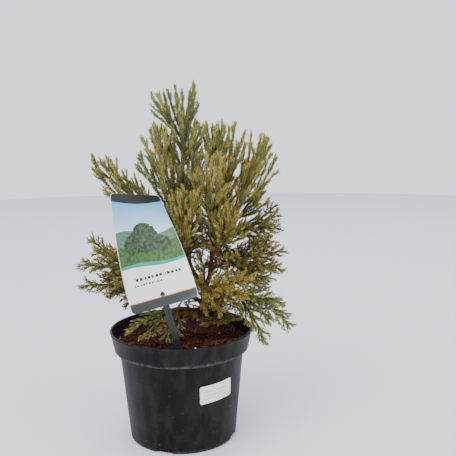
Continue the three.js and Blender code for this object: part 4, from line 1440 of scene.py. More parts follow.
def loft(rings: Sequence[Array]) -> tuple[Array, list]:
    """A closed skin over rings of points.

    Args:
        rings: rings of as many points each, or of a single one. An end ring of many gets a cap.

    Returns:
        The points and the faces.
    """
    starts = np.cumsum([0] + [len(ring) for ring in rings])
    sides = max(len(ring) for ring in rings)
    ends = [k for k in (0, len(rings) - 1) if len(rings[k]) == sides]
    faces = [tuple(range(starts[k], starts[k] + sides)) for k in ends]
    for step, (low, high) in enumerate(zip(rings, rings[1:])):
        for side in range(sides):
            after = (side + 1) % sides
            foot = [starts[step] + place % len(low) for place in (side, after)]
            head = [starts[step + 1] + place % len(high) for place in (after, side)]
            faces.append(tuple(dict.fromkeys(foot + head)))
    return np.concatenate(rings), faces


def rounded_rows(width: float, height: float, radius: float, steps: int, between: int) -> list[Pair]:
    """The rows of a sheet with rounded corners.

    Args:
        width: the sheet's width.
        height: its height.
        radius: its corners' radius.
        steps: how many rows a corner takes.
        between: how many lie between the corners.

    Returns:
        Each row's share up, and its share of the width.
    """
    foot = []
    for step in range(steps + 1):
        angle = math.pi / 2 * step / steps
        drawn_in = 2 * radius * (1 - math.sin(angle)) / width
        foot.append((radius * (1 - math.cos(angle)) / height, 1 - drawn_in))
    middle = [(foot[-1][0] + (1 - 2 * foot[-1][0]) * step / between, 1.0) for step in range(1, between)]
    return foot + middle + [(1 - up, span) for up, span in foot[::-1]]


def sheet_piece(
    name: str, rows: Sequence[Pair], columns: int, place: Callable[..., Array], finishes: Sequence[Material]
) -> Object:
    """A thin closed sheet whose UV map runs from 0 to 1 across and up.

    Args:
        name: the piece's name.
        rows: each row's share up and its share of the width.
        columns: how many faces lie across.
        place: gives the point at a share across and up, on side 0, the face, or 1, the back.
        finishes: the materials of the face and of the rest.

    Returns:
        The piece.
    """
    wide = columns + 1
    shares = [(0.5 + (column / columns - 0.5) * span, up) for up, span in rows for column in range(wide)]
    points = np.array([place(*share, side) for side in (0, 1) for share in shares])
    layer = len(shares)
    last = layer - wide
    corners = [start + column for start in range(0, last, wide) for column in range(columns)]
    front = [(a, a + 1, a + 1 + wide, a + wide) for a in corners]
    back = [tuple(corner + layer for corner in face[::-1]) for face in front]
    foot, right = range(wide), range(wide + columns, layer, wide)
    outline = [*foot, *right, *range(layer - 2, last - 1, -1), *range(last - wide, 0, -wide)]
    rim = [(b, a, a + layer, b + layer) for a, b in zip(outline, outline[1:] + outline[:1])]
    mesh = mesh_from(name, points, front + back + rim)
    where = mesh.uv_layers.new(name="UVMap")
    numbers = np.zeros(len(mesh.loops), np.int32)
    mesh.loops.foreach_get("vertex_index", numbers)
    where.data.foreach_set("uv", np.array(shares * 2, np.float32)[numbers].ravel())
    piece = new_piece(name, mesh, *finishes)
    mesh.polygons.foreach_set("material_index", [0] * len(front) + [1] * (len(back) + len(rim)))
    mesh.set_sharp_from_angle(angle=math.radians(40))
    return piece


# Geometry trees


class GeometryTree(Nodes):
    """A geometry node tree with named inputs, and the modifier that runs it."""

    def __init__(self, name: str, inputs: dict[str, Any]) -> None:
        """Makes the tree and its sockets.

        Args:
            name: the tree's name.
            inputs: its inputs, as add_inputs takes them.
        """
        super().__init__(bpy.data.node_groups.new(name, "GeometryNodeTree"))
        for side in ("INPUT", "OUTPUT"):
            self.tree.interface.new_socket(name="Geometry", in_out=side, socket_type="NodeSocketGeometry")
        self.keys = add_inputs(self.tree, {**inputs, "Material": "Material"})
        self.given = self.add("NodeGroupInput")

    def run(self, host: Object, name: str, values: dict[str, Any]) -> Object:
        """Runs the tree on a host.

        Args:
            host: the object that the tree starts from.
            name: the result's name.
            values: the inputs' values by their names.

        Returns:
            The result as a plain piece.
        """
        modifier = host.modifiers.new(self.tree.name, "NODES")
        modifier.node_group = self.tree
        for label, value in values.items():
            modifier[self.keys[label]] = value
        return settled(host, name)

    def finish(self, geometry: Any) -> "GeometryTree":
        """Ends the tree: instances become real, and the material is set.

        Args:
            geometry: the socket of what the tree has made.

        Returns:
            The tree itself.
        """
        real = self.add("GeometryNodeRealizeInstances", {"Geometry": geometry})[0]
        inputs = {"Geometry": real, "Material": self.given["Material"]}
        self.add("NodeGroupOutput", {0: self.add("GeometryNodeSetMaterial", inputs)[0]})
        return self

    def attribute(self, name: str) -> Any:
        """A named number that the host's points carry."""
        return self.add("GeometryNodeInputNamedAttribute", {"Name": name}, data_type="FLOAT")["Attribute"]

    def curve(self) -> Any:
        """The host's lines as curves."""
        return self.add("GeometryNodeMeshToCurve", {"Mesh": self.given["Geometry"]})[0]

    def random(self, low: Any, high: Any) -> Any:
        """A random number between two limits."""
        inputs = {2: low, 3: high, "Seed": self.given["Seed"]}
        return self.add("FunctionNodeRandomValue", inputs, data_type="FLOAT")[1]

    def moved(self, geometry: Any, offset: Any) -> Any:
        """Geometry with its points moved."""
        return self.add("GeometryNodeSetPosition", {"Geometry": geometry, "Offset": offset})[0]

    def rotation(self, angles: Any) -> Any:
        """A rotation by three angles."""
        return self.add("FunctionNodeEulerToRotation", {0: angles})[0]

    def turned(self, rotation: Any, angles: Any) -> Any:
        """A rotation turned further, about its own axes."""
        inputs = {0: rotation, 1: self.rotation(angles)}
        return self.add("FunctionNodeRotateRotation", inputs, rotation_space="LOCAL")[0]

    def copies(self, points: Any, shape: str, rotation: Any, scale: Any) -> Any:
        """Sets copies of a shape on points.

        Args:
            points: the points.
            shape: the name of the input that holds the shape.
            rotation: how each copy is turned.
            scale: how large it is.

        Returns:
            The copies.
        """
        inputs = {"Object": self.given[shape], "As Instance": True}
        source = self.add("GeometryNodeObjectInfo", inputs)["Geometry"]
        inputs = {"Points": points, "Instance": source, "Rotation": rotation, "Scale": scale}
        return self.add("GeometryNodeInstanceOnPoints", inputs)[0]


def twig_tree() -> GeometryTree:
    """Turns lines with a thickness into closed twigs.

    Returns:
        The tree.
    """
    made = GeometryTree("twig_cores", {"Sides": 4})
    ring = made.add("GeometryNodeCurvePrimitiveCircle", {"Resolution": made.given["Sides"], "Radius": 1.0})[0]
    inputs = {"Curve": made.curve(), "Profile Curve": ring, "Scale": made.attribute("thickness")}
    return made.finish(made.add("GeometryNodeCurveToMesh", {**inputs, "Fill Caps": True})[0])


def needle_tree() -> GeometryTree:
    """Sets needles in a spiral along lines: each leans forward and stands on the core's skin.

    Returns:
        The tree.
    """
    sizes = {"Spacing": 0.0006, "Shortest": 0.75, "Longest": 1.15, "Lean Spread": 0.12, "Turn": GOLDEN_ANGLE}
    made = GeometryTree("needles_on_twigs", {"Needle": "Object", **sizes, "Seed": 1})
    given = made.given
    inputs = {"Curve": made.curve(), "Length": given["Spacing"]}
    sites = made.add("GeometryNodeCurveToPoints", inputs, mode="LENGTH")
    turn = made.times(made.add("GeometryNodeInputIndex")[0], given["Turn"])
    spun = made.turned(sites["Rotation"], made.vector(z=turn))
    spread = given["Lean Spread"]
    sway = made.random(made.times(spread, -1.0), spread)
    leaned = made.turned(spun, made.vector(x=made.maths("ADD", made.attribute("lean"), sway)))
    inward = made.times(made.attribute("thickness"), -0.8)
    offset = made.add("FunctionNodeRotateVector", {0: made.vector(y=inward), 1: spun})[0]
    width = made.attribute("size")
    length = made.times(width, made.random(given["Shortest"], given["Longest"]))
    placed = made.moved(sites["Points"], offset)
    return made.finish(made.copies(placed, "Needle", leaned, made.vector(width, width, length)))


def scatter_tree() -> GeometryTree:
    """Strews lumps over a surface, each turned at will, sized between two limits and made uneven.

    Returns:
        The tree.
    """
    sizes = {"Per Area": 1000.0, "Smallest": 0.5, "Largest": 1.5, "Tilt": 0.4, "Sink": 0.0}
    made = GeometryTree("strewn_lumps", {"Lump": "Object", **sizes, "Unevenness": 0.0003, "Seed": 1})
    given = made.given
    tilt, back = given["Tilt"], made.times(given["Tilt"], -1.0)
    inputs = {"Mesh": given["Geometry"], "Density": given["Per Area"], "Seed": given["Seed"]}
    sites = made.add("GeometryNodeDistributePointsOnFaces", inputs)["Points"]
    inputs = {0: made.vector(back, back), 1: made.vector(tilt, tilt, math.tau), "Seed": given["Seed"]}
    turn = made.rotation(made.add("FunctionNodeRandomValue", inputs, data_type="FLOAT_VECTOR")[0])
    placed = made.moved(sites, made.vector(z=given["Sink"]))
    lumps = made.copies(placed, "Lump", turn, made.random(given["Smallest"], given["Largest"]))
    real = made.add("GeometryNodeRealizeInstances", {"Geometry": lumps})[0]
    cloud = made.add("ShaderNodeTexNoise", {"Scale": 420.0, "Detail": 1.0})["Color"]
    centred = made.vector_maths("SUBTRACT", cloud, (0.5, 0.5, 0.5))
    return made.finish(made.moved(real, made.vector_maths("SCALE", centred, given["Unevenness"])))


# The plant


@dataclass
class Stretch:
    """A stretch of a twig that takes one tint."""

    path: Array
    thickness: Array
    size: Array
    lean: Array


@dataclass
class Foliage:
    """Turns the crown's twigs into joined cores and needles, dealt out by tint."""

    crown: Crown
    needle_length: float = 3.9
    needle_width: float = 1.5
    needle_depth: float = 0.85
    needle_faces: int = 6
    spacing: float = 0.55
    most_triangles: int = 180_000
    long_twig: float = 16
    foot_share: float = 0.42
    vigour: Pair = (0.88, 1.1)
    tip_lengths: Pair = (3, 7)

    def build(self) -> None:
        """Builds the pieces of foliage."""
        self.twig_cores()
        self.needles()

    def host(self, name: str, lines: Sequence[Array], numbers: dict[str, list[Array]]) -> Object:
        """Lines as one object whose points carry named numbers.

        Args:
            name: the object's name.
            lines: each line's points in millimetres.
            numbers: for each name, one row of numbers a line.

        Returns:
            The host object.
        """
        ends = np.cumsum([len(line) for line in lines])
        starts = np.setdiff1d(np.arange(ends[-1]), ends - 1)
        edges = np.column_stack([starts, starts + 1])
        mesh = bpy.data.meshes.new(name)
        mesh.from_pydata((np.concatenate(lines) * MM).tolist(), edges.tolist(), [])
        for label, rows in numbers.items():
            layer = mesh.attributes.new(label, "FLOAT", "POINT")
            layer.data.foreach_set("value", np.concatenate(rows).astype(np.float32))
        return new_piece(name, mesh)

    def twig_cores(self) -> None:
        """Makes the woody cores of the twigs."""
        tree = twig_tree()
        brown = BarkFinish("twig_bark", (0.25, 0.16, 0.08), (0.40, 0.32, 0.15), 1400.0).build()
        green = BarkFinish("twig_rind", (0.26, 0.25, 0.11), (0.42, 0.40, 0.18), 1400.0).build()
        nodes = [f"{mass.name}_foliage" for mass in CROWN]
        for name, finish, is_side in (("main_twigs", brown, False), ("side_twigs", green, True)):
            lines, radii = [], []
            for twig in self.crown.twigs:
                if twig.has_core and (twig.order > 1) == is_side:
                    lines.append(evenly(twig.path, 4.0))
                    along = lengths_along(lines[-1])
                    radii.append(np.interp(along, lengths_along(twig.path), twig.radii) * MM)
            host = self.host(f"{name}_lines", lines, {"thickness": radii})
            piece = tree.run(host, name, {"Sides": 3 if is_side else 5, "Material": finish})
            finish_piece(piece, "foliage", () if is_side else nodes)

    def stretches(self, twig: Twig) -> list[tuple[Tint, Stretch]]:
        """Cuts a twig where its tint changes: at its foot, its middle and its tip.

        Args:
            twig: the twig.

        Returns:
            Each stretch with its tint.
        """
        path = evenly(twig.path, 1.5)
        along = lengths_along(path)
        total = along[-1]
        share = along / total
        thickness = np.interp(share, np.linspace(0, 1, len(twig.radii)), twig.radii) * MM
        random = NumberStream(twig.mass, twig.key // 100 if twig.order > 2 else twig.key, 77)
        vigour = random.between(*self.vigour)
        from_tip = total - along
        size = vigour * (0.86 + 0.14 * np.clip(from_tip / 5, 0, 1)) * np.clip(0.75 + along / 12, 0.75, 1)
        size = size * twig.habit.needle_size
        lean = twig.habit.needle_lean * (0.6 + 0.4 * np.clip(from_tip / 6, 0, 1))
        tip = 1 - random.between(*self.tip_lengths) / total
        is_long = total > self.long_twig
        cuts = [0.0, self.foot_share, tip, 1.0] if is_long else [0.0, 0.5, 1.0]
        found = []
        for zone, (low, high) in zip(twig.tone.value[0 if is_long else 1 :], zip(cuts, cuts[1:])):
            inside = np.flatnonzero((share >= low - 0.01) & (share <= high + 0.01))
            if len(inside) > 1:
                rows = slice(inside[0], inside[-1] + 1)
                tint = self.deal(zone, random)
                found.append((tint, Stretch(path[rows], thickness[rows], size[rows], lean[rows])))
        return found

    @staticmethod
    def deal(weights: dict[Tint, int], random: NumberStream) -> Tint:
        """Draws a tint by its weight."""
        place = random.draw() * sum(weights.values())
        return list(weights)[int(np.searchsorted(np.cumsum(list(weights.values())), place))]

    def needles(self) -> None:
        """Makes the needles, joined by tint into pieces of a fair size."""
        dealt: dict[Tint, list[Stretch]] = {tint: [] for tint in Tint}
        for twig in self.crown.twigs:
            for tint, stretch in self.stretches(twig):
                dealt[tint].append(stretch)
        tree, shape, finish = needle_tree(), self.needle_shape(), NeedleFinish()
        for number, (tint, found) in enumerate(dealt.items()):
            total = sum(lengths_along(stretch.path)[-1] for stretch in found)
            pieces = math.ceil(total / self.spacing * self.needle_faces / self.most_triangles)
            log.info("%s needles on %.1f m of twigs", tint.name.lower(), total * MM)
            material = finish.build(tint)
            for part in range(pieces):
                some = found[part::pieces]
                name = f"needles_{tint.name.lower()}" + (f"_{part + 1}" if pieces > 1 else "")
                labels = ("thickness", "size", "lean")
                numbers = {label: [getattr(stretch, label) for stretch in some] for label in labels}
                host = self.host(f"{name}_lines", [stretch.path for stretch in some], numbers)
                values = {"Needle": shape, "Spacing": self.spacing * MM, "Seed": 10 * number + part}
                finish_piece(tree.run(host, name, {**values, "Material": material}), "foliage")
        bpy.data.objects.remove(shape)

    def needle_shape(self) -> Object:
        """One awl-shaped needle: a keeled blade of six faces whose tip curves back to the twig.

        Returns:
            The needle.
        """
        length, half, depth = self.needle_length, self.needle_width / 2, self.needle_depth
        shoulders = [(side * half, -0.1 * depth, 0.36 * length) for side in (-1, 1)]
        points = np.array([(0, 0, 0), *shoulders, (0, -depth, 0.42 * length), (0, 0.11 * length, length)])
        faces = [(0, 3, 1), (0, 2, 3), (0, 1, 2), (4, 1, 3), (4, 3, 2), (4, 2, 1)]
        return new_piece("needle_shape", mesh_from("needle_shape", points, faces, smooth=False))


@dataclass
class Bark:
    """The trunk, the second stem and the boughs, with the relief of their bark."""

    crown: Crown
    step: float = 1.1
    relief: float = 0.32

    def build(self) -> None:
        """Builds one piece for each stem and one for all boughs."""
        stem_finish = BarkFinish("stem_bark", (0.20, 0.10, 0.07), (0.40, 0.22, 0.14)).build()
        bough_finish = BarkFinish("bough_bark", (0.26, 0.15, 0.08), (0.44, 0.29, 0.15)).build()
        stems, boughs = self.crown.limbs[: len(STEMS)], self.crown.limbs[len(STEMS) :]
        groups = [(f"{stem.node}_bark", [stem], 28, stem_finish, "bark") for stem in stems]
        for name, limbs, sides, finish, slot in [*groups, ("boughs_bark", boughs, 12, bough_finish, "bough")]:
            points, faces = np.empty((0, 3)), []
            for limb in limbs:
                skin, corners = self.skin(limb, sides)
                faces += [[corner + len(points) for corner in face] for face in corners]
                points = np.concatenate([points, skin])
            piece = new_piece(name, mesh_from(name, points, faces), finish)
            finish_piece(piece, slot, [limb.node for limb in limbs])

    def skin(self, limb: Limb, sides: int) -> tuple[Array, list]:
        """A limb's closed tube, with the furrows, fibres and lumps of its bark.

        Args:
            limb: the limb.
            sides: how many sides each ring has.

        Returns:
            The points and the faces.
        """
        path, along = evenly(limb.path, self.step), lengths_along(limb.path)
        places = lengths_along(path)
        radii = np.interp(places, along, limb.radii)
        depths = 0 * places if limb.lobe_depths is None else np.interp(places, along, limb.lobe_depths)
        across, points = SIDE, []
        for at, way, place, radius, depth in zip(path, np.gradient(path, axis=0), places, radii, depths):
            way = unit(way)
            across = unit(across - way * (across @ way))
            aside = np.cross(way, across)
            for side in range(sides):
                angle = math.tau * side / sides
                out = across * math.cos(angle) + aside * math.sin(angle)
                lobe = radius * depth * math.cos(limb.lobes * angle)
                spot = at + out * radius
                furrow = noise.noise((math.cos(angle) * 3.1, math.sin(angle) * 3.1, place * 0.07))
                fibre = noise.noise((spot[0] * 1.3, spot[1] * 1.3, spot[2] * 0.32))
                grain = furrow + 0.8 * fibre + 0.7 * noise.noise(spot * 0.22)
                points.append(at + out * (radius + (lobe + self.relief * min(radius / 3.2, 1.2) * grain)))
        return loft(np.array(points).reshape(len(path), sides, 3))


@dataclass
class Pot:
    """The nursery pot."""

    sizes: PotSizes = POT
    segments: int = 144
    notch_count: int = 4
    notch_bearing: float = 252.6
    notch_width: float = 24
    notch_height: float = 5.6
    notch_depth: float = 8
    notch_slope: float = 1.6
    lip: float = 0.9
    bead: float = 1.3
    hollow: float = 7
    ring: float = 4.5

    def build(self) -> None:
        """Builds the pot with its collar, rolled rim and foot notches."""
        rings = [circle(radius, height, self.segments) for radius, height in self.profile()]
        shell = new_piece("pot_shell", mesh_from("pot_shell", *loft(rings)), PotFinish().build())
        piece = cut_out(shell, self.cutters(), "nursery_pot")
        piece.data.polygons.foreach_set("use_smooth", [True] * len(piece.data.polygons))
        piece.data.set_sharp_from_angle(angle=math.radians(32))
        finish_piece(piece, "pot", ["pot"])

    def profile(self) -> list[Pair]:
        """The pot's section, from the middle of its hollow underside up the outside and down the inside.

        Returns:
            The radius and height of each ring.
        """
        s = self.sizes
        foot = arc((s.foot_radius - s.foot_rounding, s.foot_rounding), s.foot_rounding, -90, -8, 5)
        collar_foot = [
            (s.body_top_radius, s.body_top_height),
            (s.body_top_radius + 0.4, s.body_top_height + 1.0),
            (s.collar_foot_radius - 2.4, s.collar_foot_height - 1.1),
            *arc((s.collar_foot_radius - self.lip, s.collar_foot_height), self.lip, -70, 5, 4),
        ]
        rim = arc((s.collar_top_radius - 0.5, s.height - self.bead), self.bead, -40, 90, 7)
        under_rim = [(s.collar_top_radius - 0.2, s.height - s.rim_depth)]
        inner = [
            (s.collar_top_radius - s.wall - 0.3, s.height - 0.4),
            (s.inner_radius(s.height - 2), s.height - 2),
            (s.collar_foot_radius - s.wall, s.collar_foot_height),
            (s.body_top_radius - s.wall, s.body_top_height),
            (s.body_radius(self.hollow + s.floor) - s.wall, self.hollow + s.floor),
            (0, self.hollow + s.floor),
        ]
        ring = s.foot_radius - self.ring
        hollow = [(0, self.hollow), (ring - 1, self.hollow), (ring, 0)]
        return [*hollow, *foot, *collar_foot, *under_rim, *rim, *inner]

    def cutters(self) -> list[Object]:
        """The wedges that cut the notches out of the foot.

        Returns:
            One object for each notch.
        """
        found = []
        half, top, below = self.notch_width / 2, self.notch_width / 2 - self.notch_slope, -4
        outline = [(-half, below), (half, below), (top, self.notch_height), (-top, self.notch_height)]
        for turn in range(self.notch_count):
            bearing = math.radians(self.notch_bearing + 360 * turn / self.notch_count)
            out = Vector((math.cos(bearing), math.sin(bearing), 0))
            side = Vector((-out.y, out.x, 0))
            middle = out * (self.sizes.foot_radius - self.sizes.floor)
            rings = [
                [middle + out * depth + side * x + Vector((0, 0, z)) for x, z in outline]
                for depth in (self.notch_depth, -self.notch_depth)
            ]
            skin = loft(np.array(rings))
            found.append(new_piece(f"notch_cutter_{turn}", mesh_from("notch_cutter", *skin)))
        return found


@dataclass(frozen=True)
class Litter:
    """One kind of lump that lies on the soil: its size and finish, and how it is strewn."""

    name: str
    size: Triple
    per_area: float
    largest: float
    tilt: float
    sink: float
    unevenness: float
    dark: Triple
    light: Triple


LITTER = (
    Litter("soil_crumbs", (1.8, 1.5, 1.2), per_area=60000.0, largest=1.7, tilt=0.8, sink=0.3, unevenness=1.2,
           dark=(0.105, 0.05, 0.037), light=(0.21, 0.098, 0.068)),
    Litter("soil_chips", (6.0, 2.4, 0.9), per_area=24000.0, largest=1.6, tilt=0.4, sink=0.7, unevenness=1.5,
           dark=(0.20, 0.095, 0.06), light=(0.38, 0.21, 0.135)),
    Litter("soil_fibres", (11.0, 0.7, 0.5), per_area=15000.0, largest=1.4, tilt=0.3, sink=1.0, unevenness=2.6,
           dark=(0.26, 0.135, 0.085), light=(0.50, 0.32, 0.21)),
    Litter("white_grains", (2.3, 2.1, 1.8), per_area=900.0, largest=1.3, tilt=0.9, sink=0.8, unevenness=0.7,
           dark=(0.72, 0.71, 0.68), light=(0.88, 0.87, 0.84)),
)


@dataclass
class Soil:
    """The potting soil: an uneven bed with crumbs, bark chips, fibres and white grains on it."""

    sizes: PotSizes = POT
    rings: int = 56
    segments: int = 168
    top_rings: int = 24
    top_segments: int = 72
    trunk_room: float = 11
    wall_room: float = 4
    edge_width: float = 14
    mound: float = 0.9

    @property
    def edge(self) -> float:
        """The radius of the bed's top, just inside the pot's wall."""
        return self.sizes.inner_radius(self.sizes.soil_top) - self.sizes.seat_gap

    def build(self) -> None:
        """Builds the bed and what lies on it."""
        finish = EarthFinish("peat", (0.10, 0.05, 0.04), (0.185, 0.085, 0.062)).build()
        finish_piece(new_piece("soil_bed", self.bed_mesh(), finish), "soil", ["soil"])
        self.strew()

    def bed_mesh(self) -> Mesh:
        """The bed's closed mesh: its uneven top, and its wall and floor inside the pot.

        Returns:
            The mesh.
        """
        s, gap, count = self.sizes, self.sizes.seat_gap, self.segments
        rings = [self.uneven_ring(self.edge * ring / self.rings, count) for ring in range(self.rings + 1)]
        collar, body = s.collar_foot_radius - s.wall, s.body_top_radius - s.wall
        foot = s.body_radius(s.floor) - s.wall
        under = ((collar, s.collar_foot_height), (body, s.body_top_height), (foot, s.floor), (gap, s.floor))
        rings += [circle(radius - gap, height + gap, count) for radius, height in under]
        return mesh_from("soil_bed", *loft(rings))

    def uneven_ring(self, radius: float, segments: int) -> Array:
        """A ring of points on the bed's uneven top."""
        return np.array([(x, y, self.height_at(x, y)) for x, y, _ in circle(radius, 0, segments)])

    def height_at(self, x: float, y: float) -> float:
        """The bed's height: lumps, a slight mound at the trunk and a drop at the wall.

        Args:
            x: how far across the pot.
            y: how far towards its back.

        Returns:
            The height there.
        """
        drop = max(0.0, math.hypot(x, y) - self.edge + self.edge_width) / self.edge_width
        mound = math.exp(-((x - TRUNK.keys[0][0]) ** 2 + (y - TRUNK.keys[0][1]) ** 2) / 900)
        height = self.sizes.soil_top - self.mound - self.sizes.soil_edge_drop * drop**2 + self.mound * mound
        for scale, depth, relief in ((0.06, 2, 1.2), (0.2, 5, 0.8), (0.7, 9, 0.55)):
            height += relief * noise.noise((x * scale, y * scale, depth))
        return height

    def strew(self) -> None:
        """Strews crumbs, chips, fibres and grains over the bed."""
        tree = scatter_tree()
        for seed, kind in enumerate(LITTER):
            lump = self.lump(kind.size)
            values = {"Per Area": kind.per_area, "Largest": kind.largest, "Tilt": kind.tilt}
            values |= {"Sink": kind.sink * MM, "Unevenness": kind.unevenness * MM, "Seed": seed + 3}
            finish = EarthFinish(kind.name, kind.dark, kind.light, 60.0, 0.4).build()
            host = new_piece(f"{kind.name}_host", self.top_mesh())
            piece = tree.run(host, kind.name, {**values, "Lump": lump, "Material": finish})
            finish_piece(piece, "soil")
            bpy.data.objects.remove(lump)

    def top_mesh(self) -> Mesh:
        """The bed's top alone, drawn in a little from the wall and away from the trunk's foot.

        Returns:
            The mesh.
        """
        rings, segments = self.top_rings, self.top_segments
        radii = (self.edge - self.wall_room) * ((np.arange(rings + 1) + 0.3) / (rings + 0.3))
        points = np.concatenate([self.uneven_ring(radius, segments) for radius in radii])
        from_trunk = np.linalg.norm(points[:, :2] - TRUNK.keys[0][:2], axis=1)
        faces = []
        for a in np.flatnonzero(from_trunk[: rings * segments] > self.trunk_room):
            b = a + 1 if (a + 1) % segments else a + 1 - segments
            faces.append((a, a + segments, b + segments, b))
        return mesh_from("soil_top", points, faces)

    @staticmethod
    def lump(size: Triple) -> Object:
        """A lump of twenty faces for strewing.

        Args:
            size: its size three ways.

        Returns:
            The lump.
        """
        shape = bmesh.new()
        bmesh.ops.create_icosphere(shape, subdivisions=1, radius=0.5 * MM)
        bmesh.ops.scale(shape, vec=size, verts=shape.verts)
        mesh = bpy.data.meshes.new("lump")
        shape.to_mesh(mesh)
        shape.free()
        return new_piece("lump", mesh)


@dataclass
class PlantLabel:
    """The printed label: a thin panel that turns as it rises, on a spike."""

    foot: Triple = (-13.3, -76, 197)
    head: Triple = (-46.3, -75, 334)
    width: float = 84
    foot_tilt: float = 15.4
    head_tilt: float = -7
    twist: float = 54
    twist_power: float = 0.75
    thickness: float = 0.8
    corner_radius: float = 5
    columns: int = 42
    rows: int = 70
    tab_width: float = 11
    tab_height: float = 24
    hole_radius: float = 2.0
    hole_height: float = 15
    spike_top: Triple = (-13.9, -74.9, 201)
    spike_foot: Triple = (9, -66, 102)
    spike_width: float = 8
    spike_tip: float = 18
    spike_thickness: float = 1.4
    tab_gap: float = 0.05
    tab_depth: float = 1.3
    twig_room: float = 0.4

    @property
    def height(self) -> float:
        """The panel's height along its middle."""
        return float(np.linalg.norm(np.array(self.head) - np.array(self.foot)))

    def point(self, across: float, up: float, behind: float) -> Array:
        """A point of the panel.

        Args:
            across: its share of the width.
            up: its share of the height.
            behind: how far it lies behind the face.

        Returns:
            The point.
        """
        turn = self.twist * up**self.twist_power
        along = direction_of(turn, self.foot_tilt + (self.head_tilt - self.foot_tilt) * up)
        middle = np.array(self.foot) * (1 - up) + np.array(self.head) * up
        return middle + along * (across - 0.5) * self.width + direction_of(turn + 90, 0) * behind

    def panel_point(self, across: float, up: float, side: int) -> Array:
        """A point of the panel's face, or of its back where the side is 1."""
        return self.point(across, up, side * self.thickness)

    def tab_point(self, across: float, up: float, side: int) -> Array:
        """A point of the tab, which lies behind the panel's foot."""
        wide, high = 0.5 + (across - 0.5) * self.tab_width / self.width, up * (self.tab_height / self.height)
        return self.point(wide, high, self.thickness + self.tab_gap + self.tab_depth * side)

    def room(self) -> Array:
        """Points all over the panel and down the spike, for twigs to keep clear of.

        Returns:
            The points.
        """
        shares = [(a, u) for a in np.linspace(-0.03, 1.03, 60) for u in np.linspace(0, 1, 100)]
        panel = [self.point(*share, self.twig_room) for share in shares]
        places = np.linspace(0, 1, 60)[:, None]
        spike = np.array(self.spike_top) * (1 - places) + np.array(self.spike_foot) * places
        aside = SIDE * self.spike_width / 2
        return np.concatenate([panel, spike, spike - aside, spike + aside])

    def build(self) -> None:
        """Builds the panel, the tab behind its foot and the spike."""
        self.panel()
        dark = plain_material("spike_plastic", (0.13, 0.135, 0.155), 0.42)
        rows = rounded_rows(self.tab_width, self.tab_height, 3, 4, 6)
        finish_piece(sheet_piece("label_tab", rows, 6, self.tab_point, (dark, dark)), "label")
        self.spike(dark)

    def panel(self) -> None:
        """Builds the panel, with the hole near its foot."""
        rows = rounded_rows(self.width, self.height, self.corner_radius, 8, self.rows)
        finishes = (LabelFinish().build(), plain_material("label_back", (0.86, 0.86, 0.84), 0.45))
        blank = sheet_piece("label_panel_blank", rows, self.columns, self.panel_point, finishes)
        ring = circle(self.hole_radius, 0, 24)[:, [0, 2, 1]]
        centre = self.point(0.5, self.hole_height / self.height, 0)
        skin = loft([centre + ring + (0, reach, 0) for reach in (-4, 4)])
        cutter = new_piece("hole_cutter", mesh_from("hole_cutter", *skin))
        finish_piece(cut_out(blank, [cutter], "label_panel"), "label", ["plant_label"])

    def spike(self, finish: Material) -> None:
        """Builds the spike: a flat blade with a rib down its face and a pointed foot.

        Args:
            finish: its material.
        """
        top, foot = np.array(self.spike_top), np.array(self.spike_foot)
        down = foot - top
        length = np.linalg.norm(down)
        rise = -down / length
        aside = unit(np.cross((0, 1, 0), rise))
        back = np.cross(rise, aside)
        half, thick = self.spike_width / 2, self.spike_thickness
        face = [(-1, 0.3), (-0.92, 0), (-0.3, 0), (-0.2, -0.9), (0.2, -0.9), (0.3, 0), (0.92, 0), (1, 0.3)]
        section = [*face, (1, thick - 0.3), (0.92, thick), (-0.92, thick), (-1, thick - 0.3)]
        rings = []
        for place, share in ((0, 1), (0.3, 1), (1 - self.spike_tip / length, 1), (1, 0.06)):
            rings.append([top + down * place + aside * x * half * share + back * z for x, z in section])
        mesh = mesh_from("label_spike", *loft(np.array(rings)), smooth=False)
        finish_piece(new_piece("label_spike", mesh, finish), "label")


@dataclass
class PriceLabel:
    """The blank sticker on the pot's wall."""

    bearing: float = 306.8
    height: float = 80.7
    width: float = 48
    depth: float = 24
    tilt: float = 3.4
    thickness: float = 0.35
    corner_radius: float = 2.2
    lift: float = 0.7

    def place(self, across: float, up: float, side: int) -> Array:
        """A point of the sticker, which follows the wall but for one corner that has come up a little.

        Args:
            across: its share of the width.
            up: its share of the height.
            side: 0 at the face and 1 at the back.

        Returns:
            The point.
        """
        tilt = math.radians(self.tilt)
        along, rise = (across - 0.5) * self.width, (up - 0.5) * self.depth
        height = self.height + rise * math.cos(tilt) + along * math.sin(tilt)
        wall = POT.body_radius(height)
        sweep = (along * math.cos(tilt) - rise * math.sin(tilt)) / wall
        crease = 0.12 * noise.noise((across * 5, up * 3, 1))
        corner = self.lift * max(0.0, 1 - 3.5 * across) ** 2 * max(0.0, 1 - 2.5 * up) ** 2
        radius = wall + POT.seat_gap + (1 - side) * self.thickness + max(crease, -0.1) + corner
        angle = math.radians(self.bearing) + sweep
        return np.array([radius * math.cos(angle), radius * math.sin(angle), height])

    def build(self) -> None:
        """Builds the sticker."""
        rows = rounded_rows(self.width, self.depth, self.corner_radius, 5, 14)
        finishes = (StickerFinish().build(), plain_material("sticker_back", (0.80, 0.78, 0.74), 0.7))
        finish_piece(sheet_piece("price_sticker", rows, 36, self.place, finishes), "paper", ["price_label"])


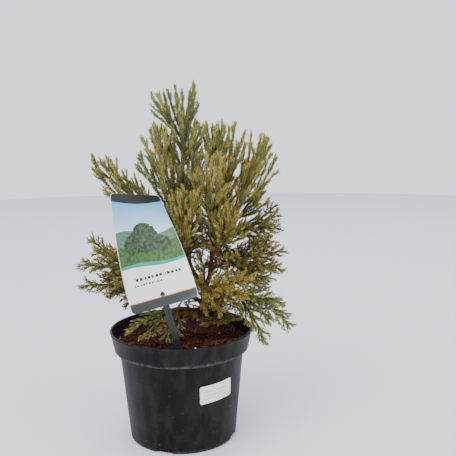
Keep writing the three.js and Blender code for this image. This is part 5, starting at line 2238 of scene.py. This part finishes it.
@dataclass
class Studio:
    """The pale floor, the soft light and the camera at the photograph's angle."""

    camera_place: Triple = (0.064, -0.910, 0.426)
    pitch_down: float = 9.1
    roll: float = 0.012
    focal_pixels: float = 703
    image_width: float = 456
    sensor_width: float = 36
    floor_radius: float = 3.0
    sky: Triple = (0.80, 0.85, 0.92)
    sky_strength: float = 1.7
    aim: Triple = (0, 0, 0.25)
    lamp_size: float = 1.6
    lamps: tuple[tuple[str, Triple, float], ...] = (
        ("key", (-0.9, -1.3, 1.9), 40),
        ("fill", (1.5, -0.9, 1.1), 14),
        ("back", (0.3, 1.6, 1.8), 14),
    )

    def build(self) -> None:
        """Builds the floor, the lights and the camera."""
        self.floor()
        self.lights()
        self.camera()

    def camera(self) -> None:
        """Places the camera and makes it the scene's."""
        data = bpy.data.cameras.new("camera")
        data.sensor_width = self.sensor_width
        data.lens = self.focal_pixels / self.image_width * self.sensor_width
        data.clip_start, data.clip_end = 0.05, 20
        camera = bpy.data.objects.new("camera", data)
        pitch = Matrix.Rotation(math.radians(90 - self.pitch_down), 4, "X")
        roll = Matrix.Rotation(-self.roll, 4, "Z")
        camera.matrix_world = Matrix.Translation(self.camera_place) @ pitch @ roll
        bpy.context.scene.collection.objects.link(camera)
        bpy.context.scene.camera = camera

    def floor(self) -> None:
        """Lays a round pale floor."""
        paint = Paint("floor_paint").finish((0.86, 0.87, 0.88), 0.7)
        mesh = mesh_from("floor", circle(self.floor_radius / MM, 0, 96), [range(96)], smooth=False)
        floor = new_piece("floor", mesh, paint)
        floor.location.z = -0.0002

    def lights(self) -> None:
        """Hangs three large soft lights and lights the surroundings evenly."""
        world = bpy.data.worlds.new("studio")
        world.use_nodes = True
        background = world.node_tree.nodes["Background"]
        background.inputs["Color"].default_value = (*self.sky, 1)
        background.inputs["Strength"].default_value = self.sky_strength
        bpy.context.scene.world = world
        for name, place, power in self.lamps:
            data = bpy.data.lights.new(name, "AREA")
            data.size, data.energy = self.lamp_size, power
            lamp = bpy.data.objects.new(name, data)
            lamp.location = place
            aim = Vector(self.aim) - Vector(place)
            lamp.rotation_euler = aim.to_track_quat("-Z", "Y").to_euler()
            bpy.context.scene.collection.objects.link(lamp)


def main() -> None:
    """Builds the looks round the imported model, in order."""
    logging.basicConfig(level=logging.INFO, format="%(message)s")
    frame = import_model()
    log.info("frame: %d solids", len(frame["nodes"]))
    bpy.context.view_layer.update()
    Studio().build()
    label = PlantLabel()
    crown = Crown()
    crown.grow(label.room())
    log.info("crown: %d limbs, %d twigs", len(crown.limbs), len(crown.twigs))
    Bark(crown).build()
    Foliage(crown).build()
    Pot().build()
    Soil().build()
    label.build()
    PriceLabel().build()


if __name__ == "__main__":
    main()
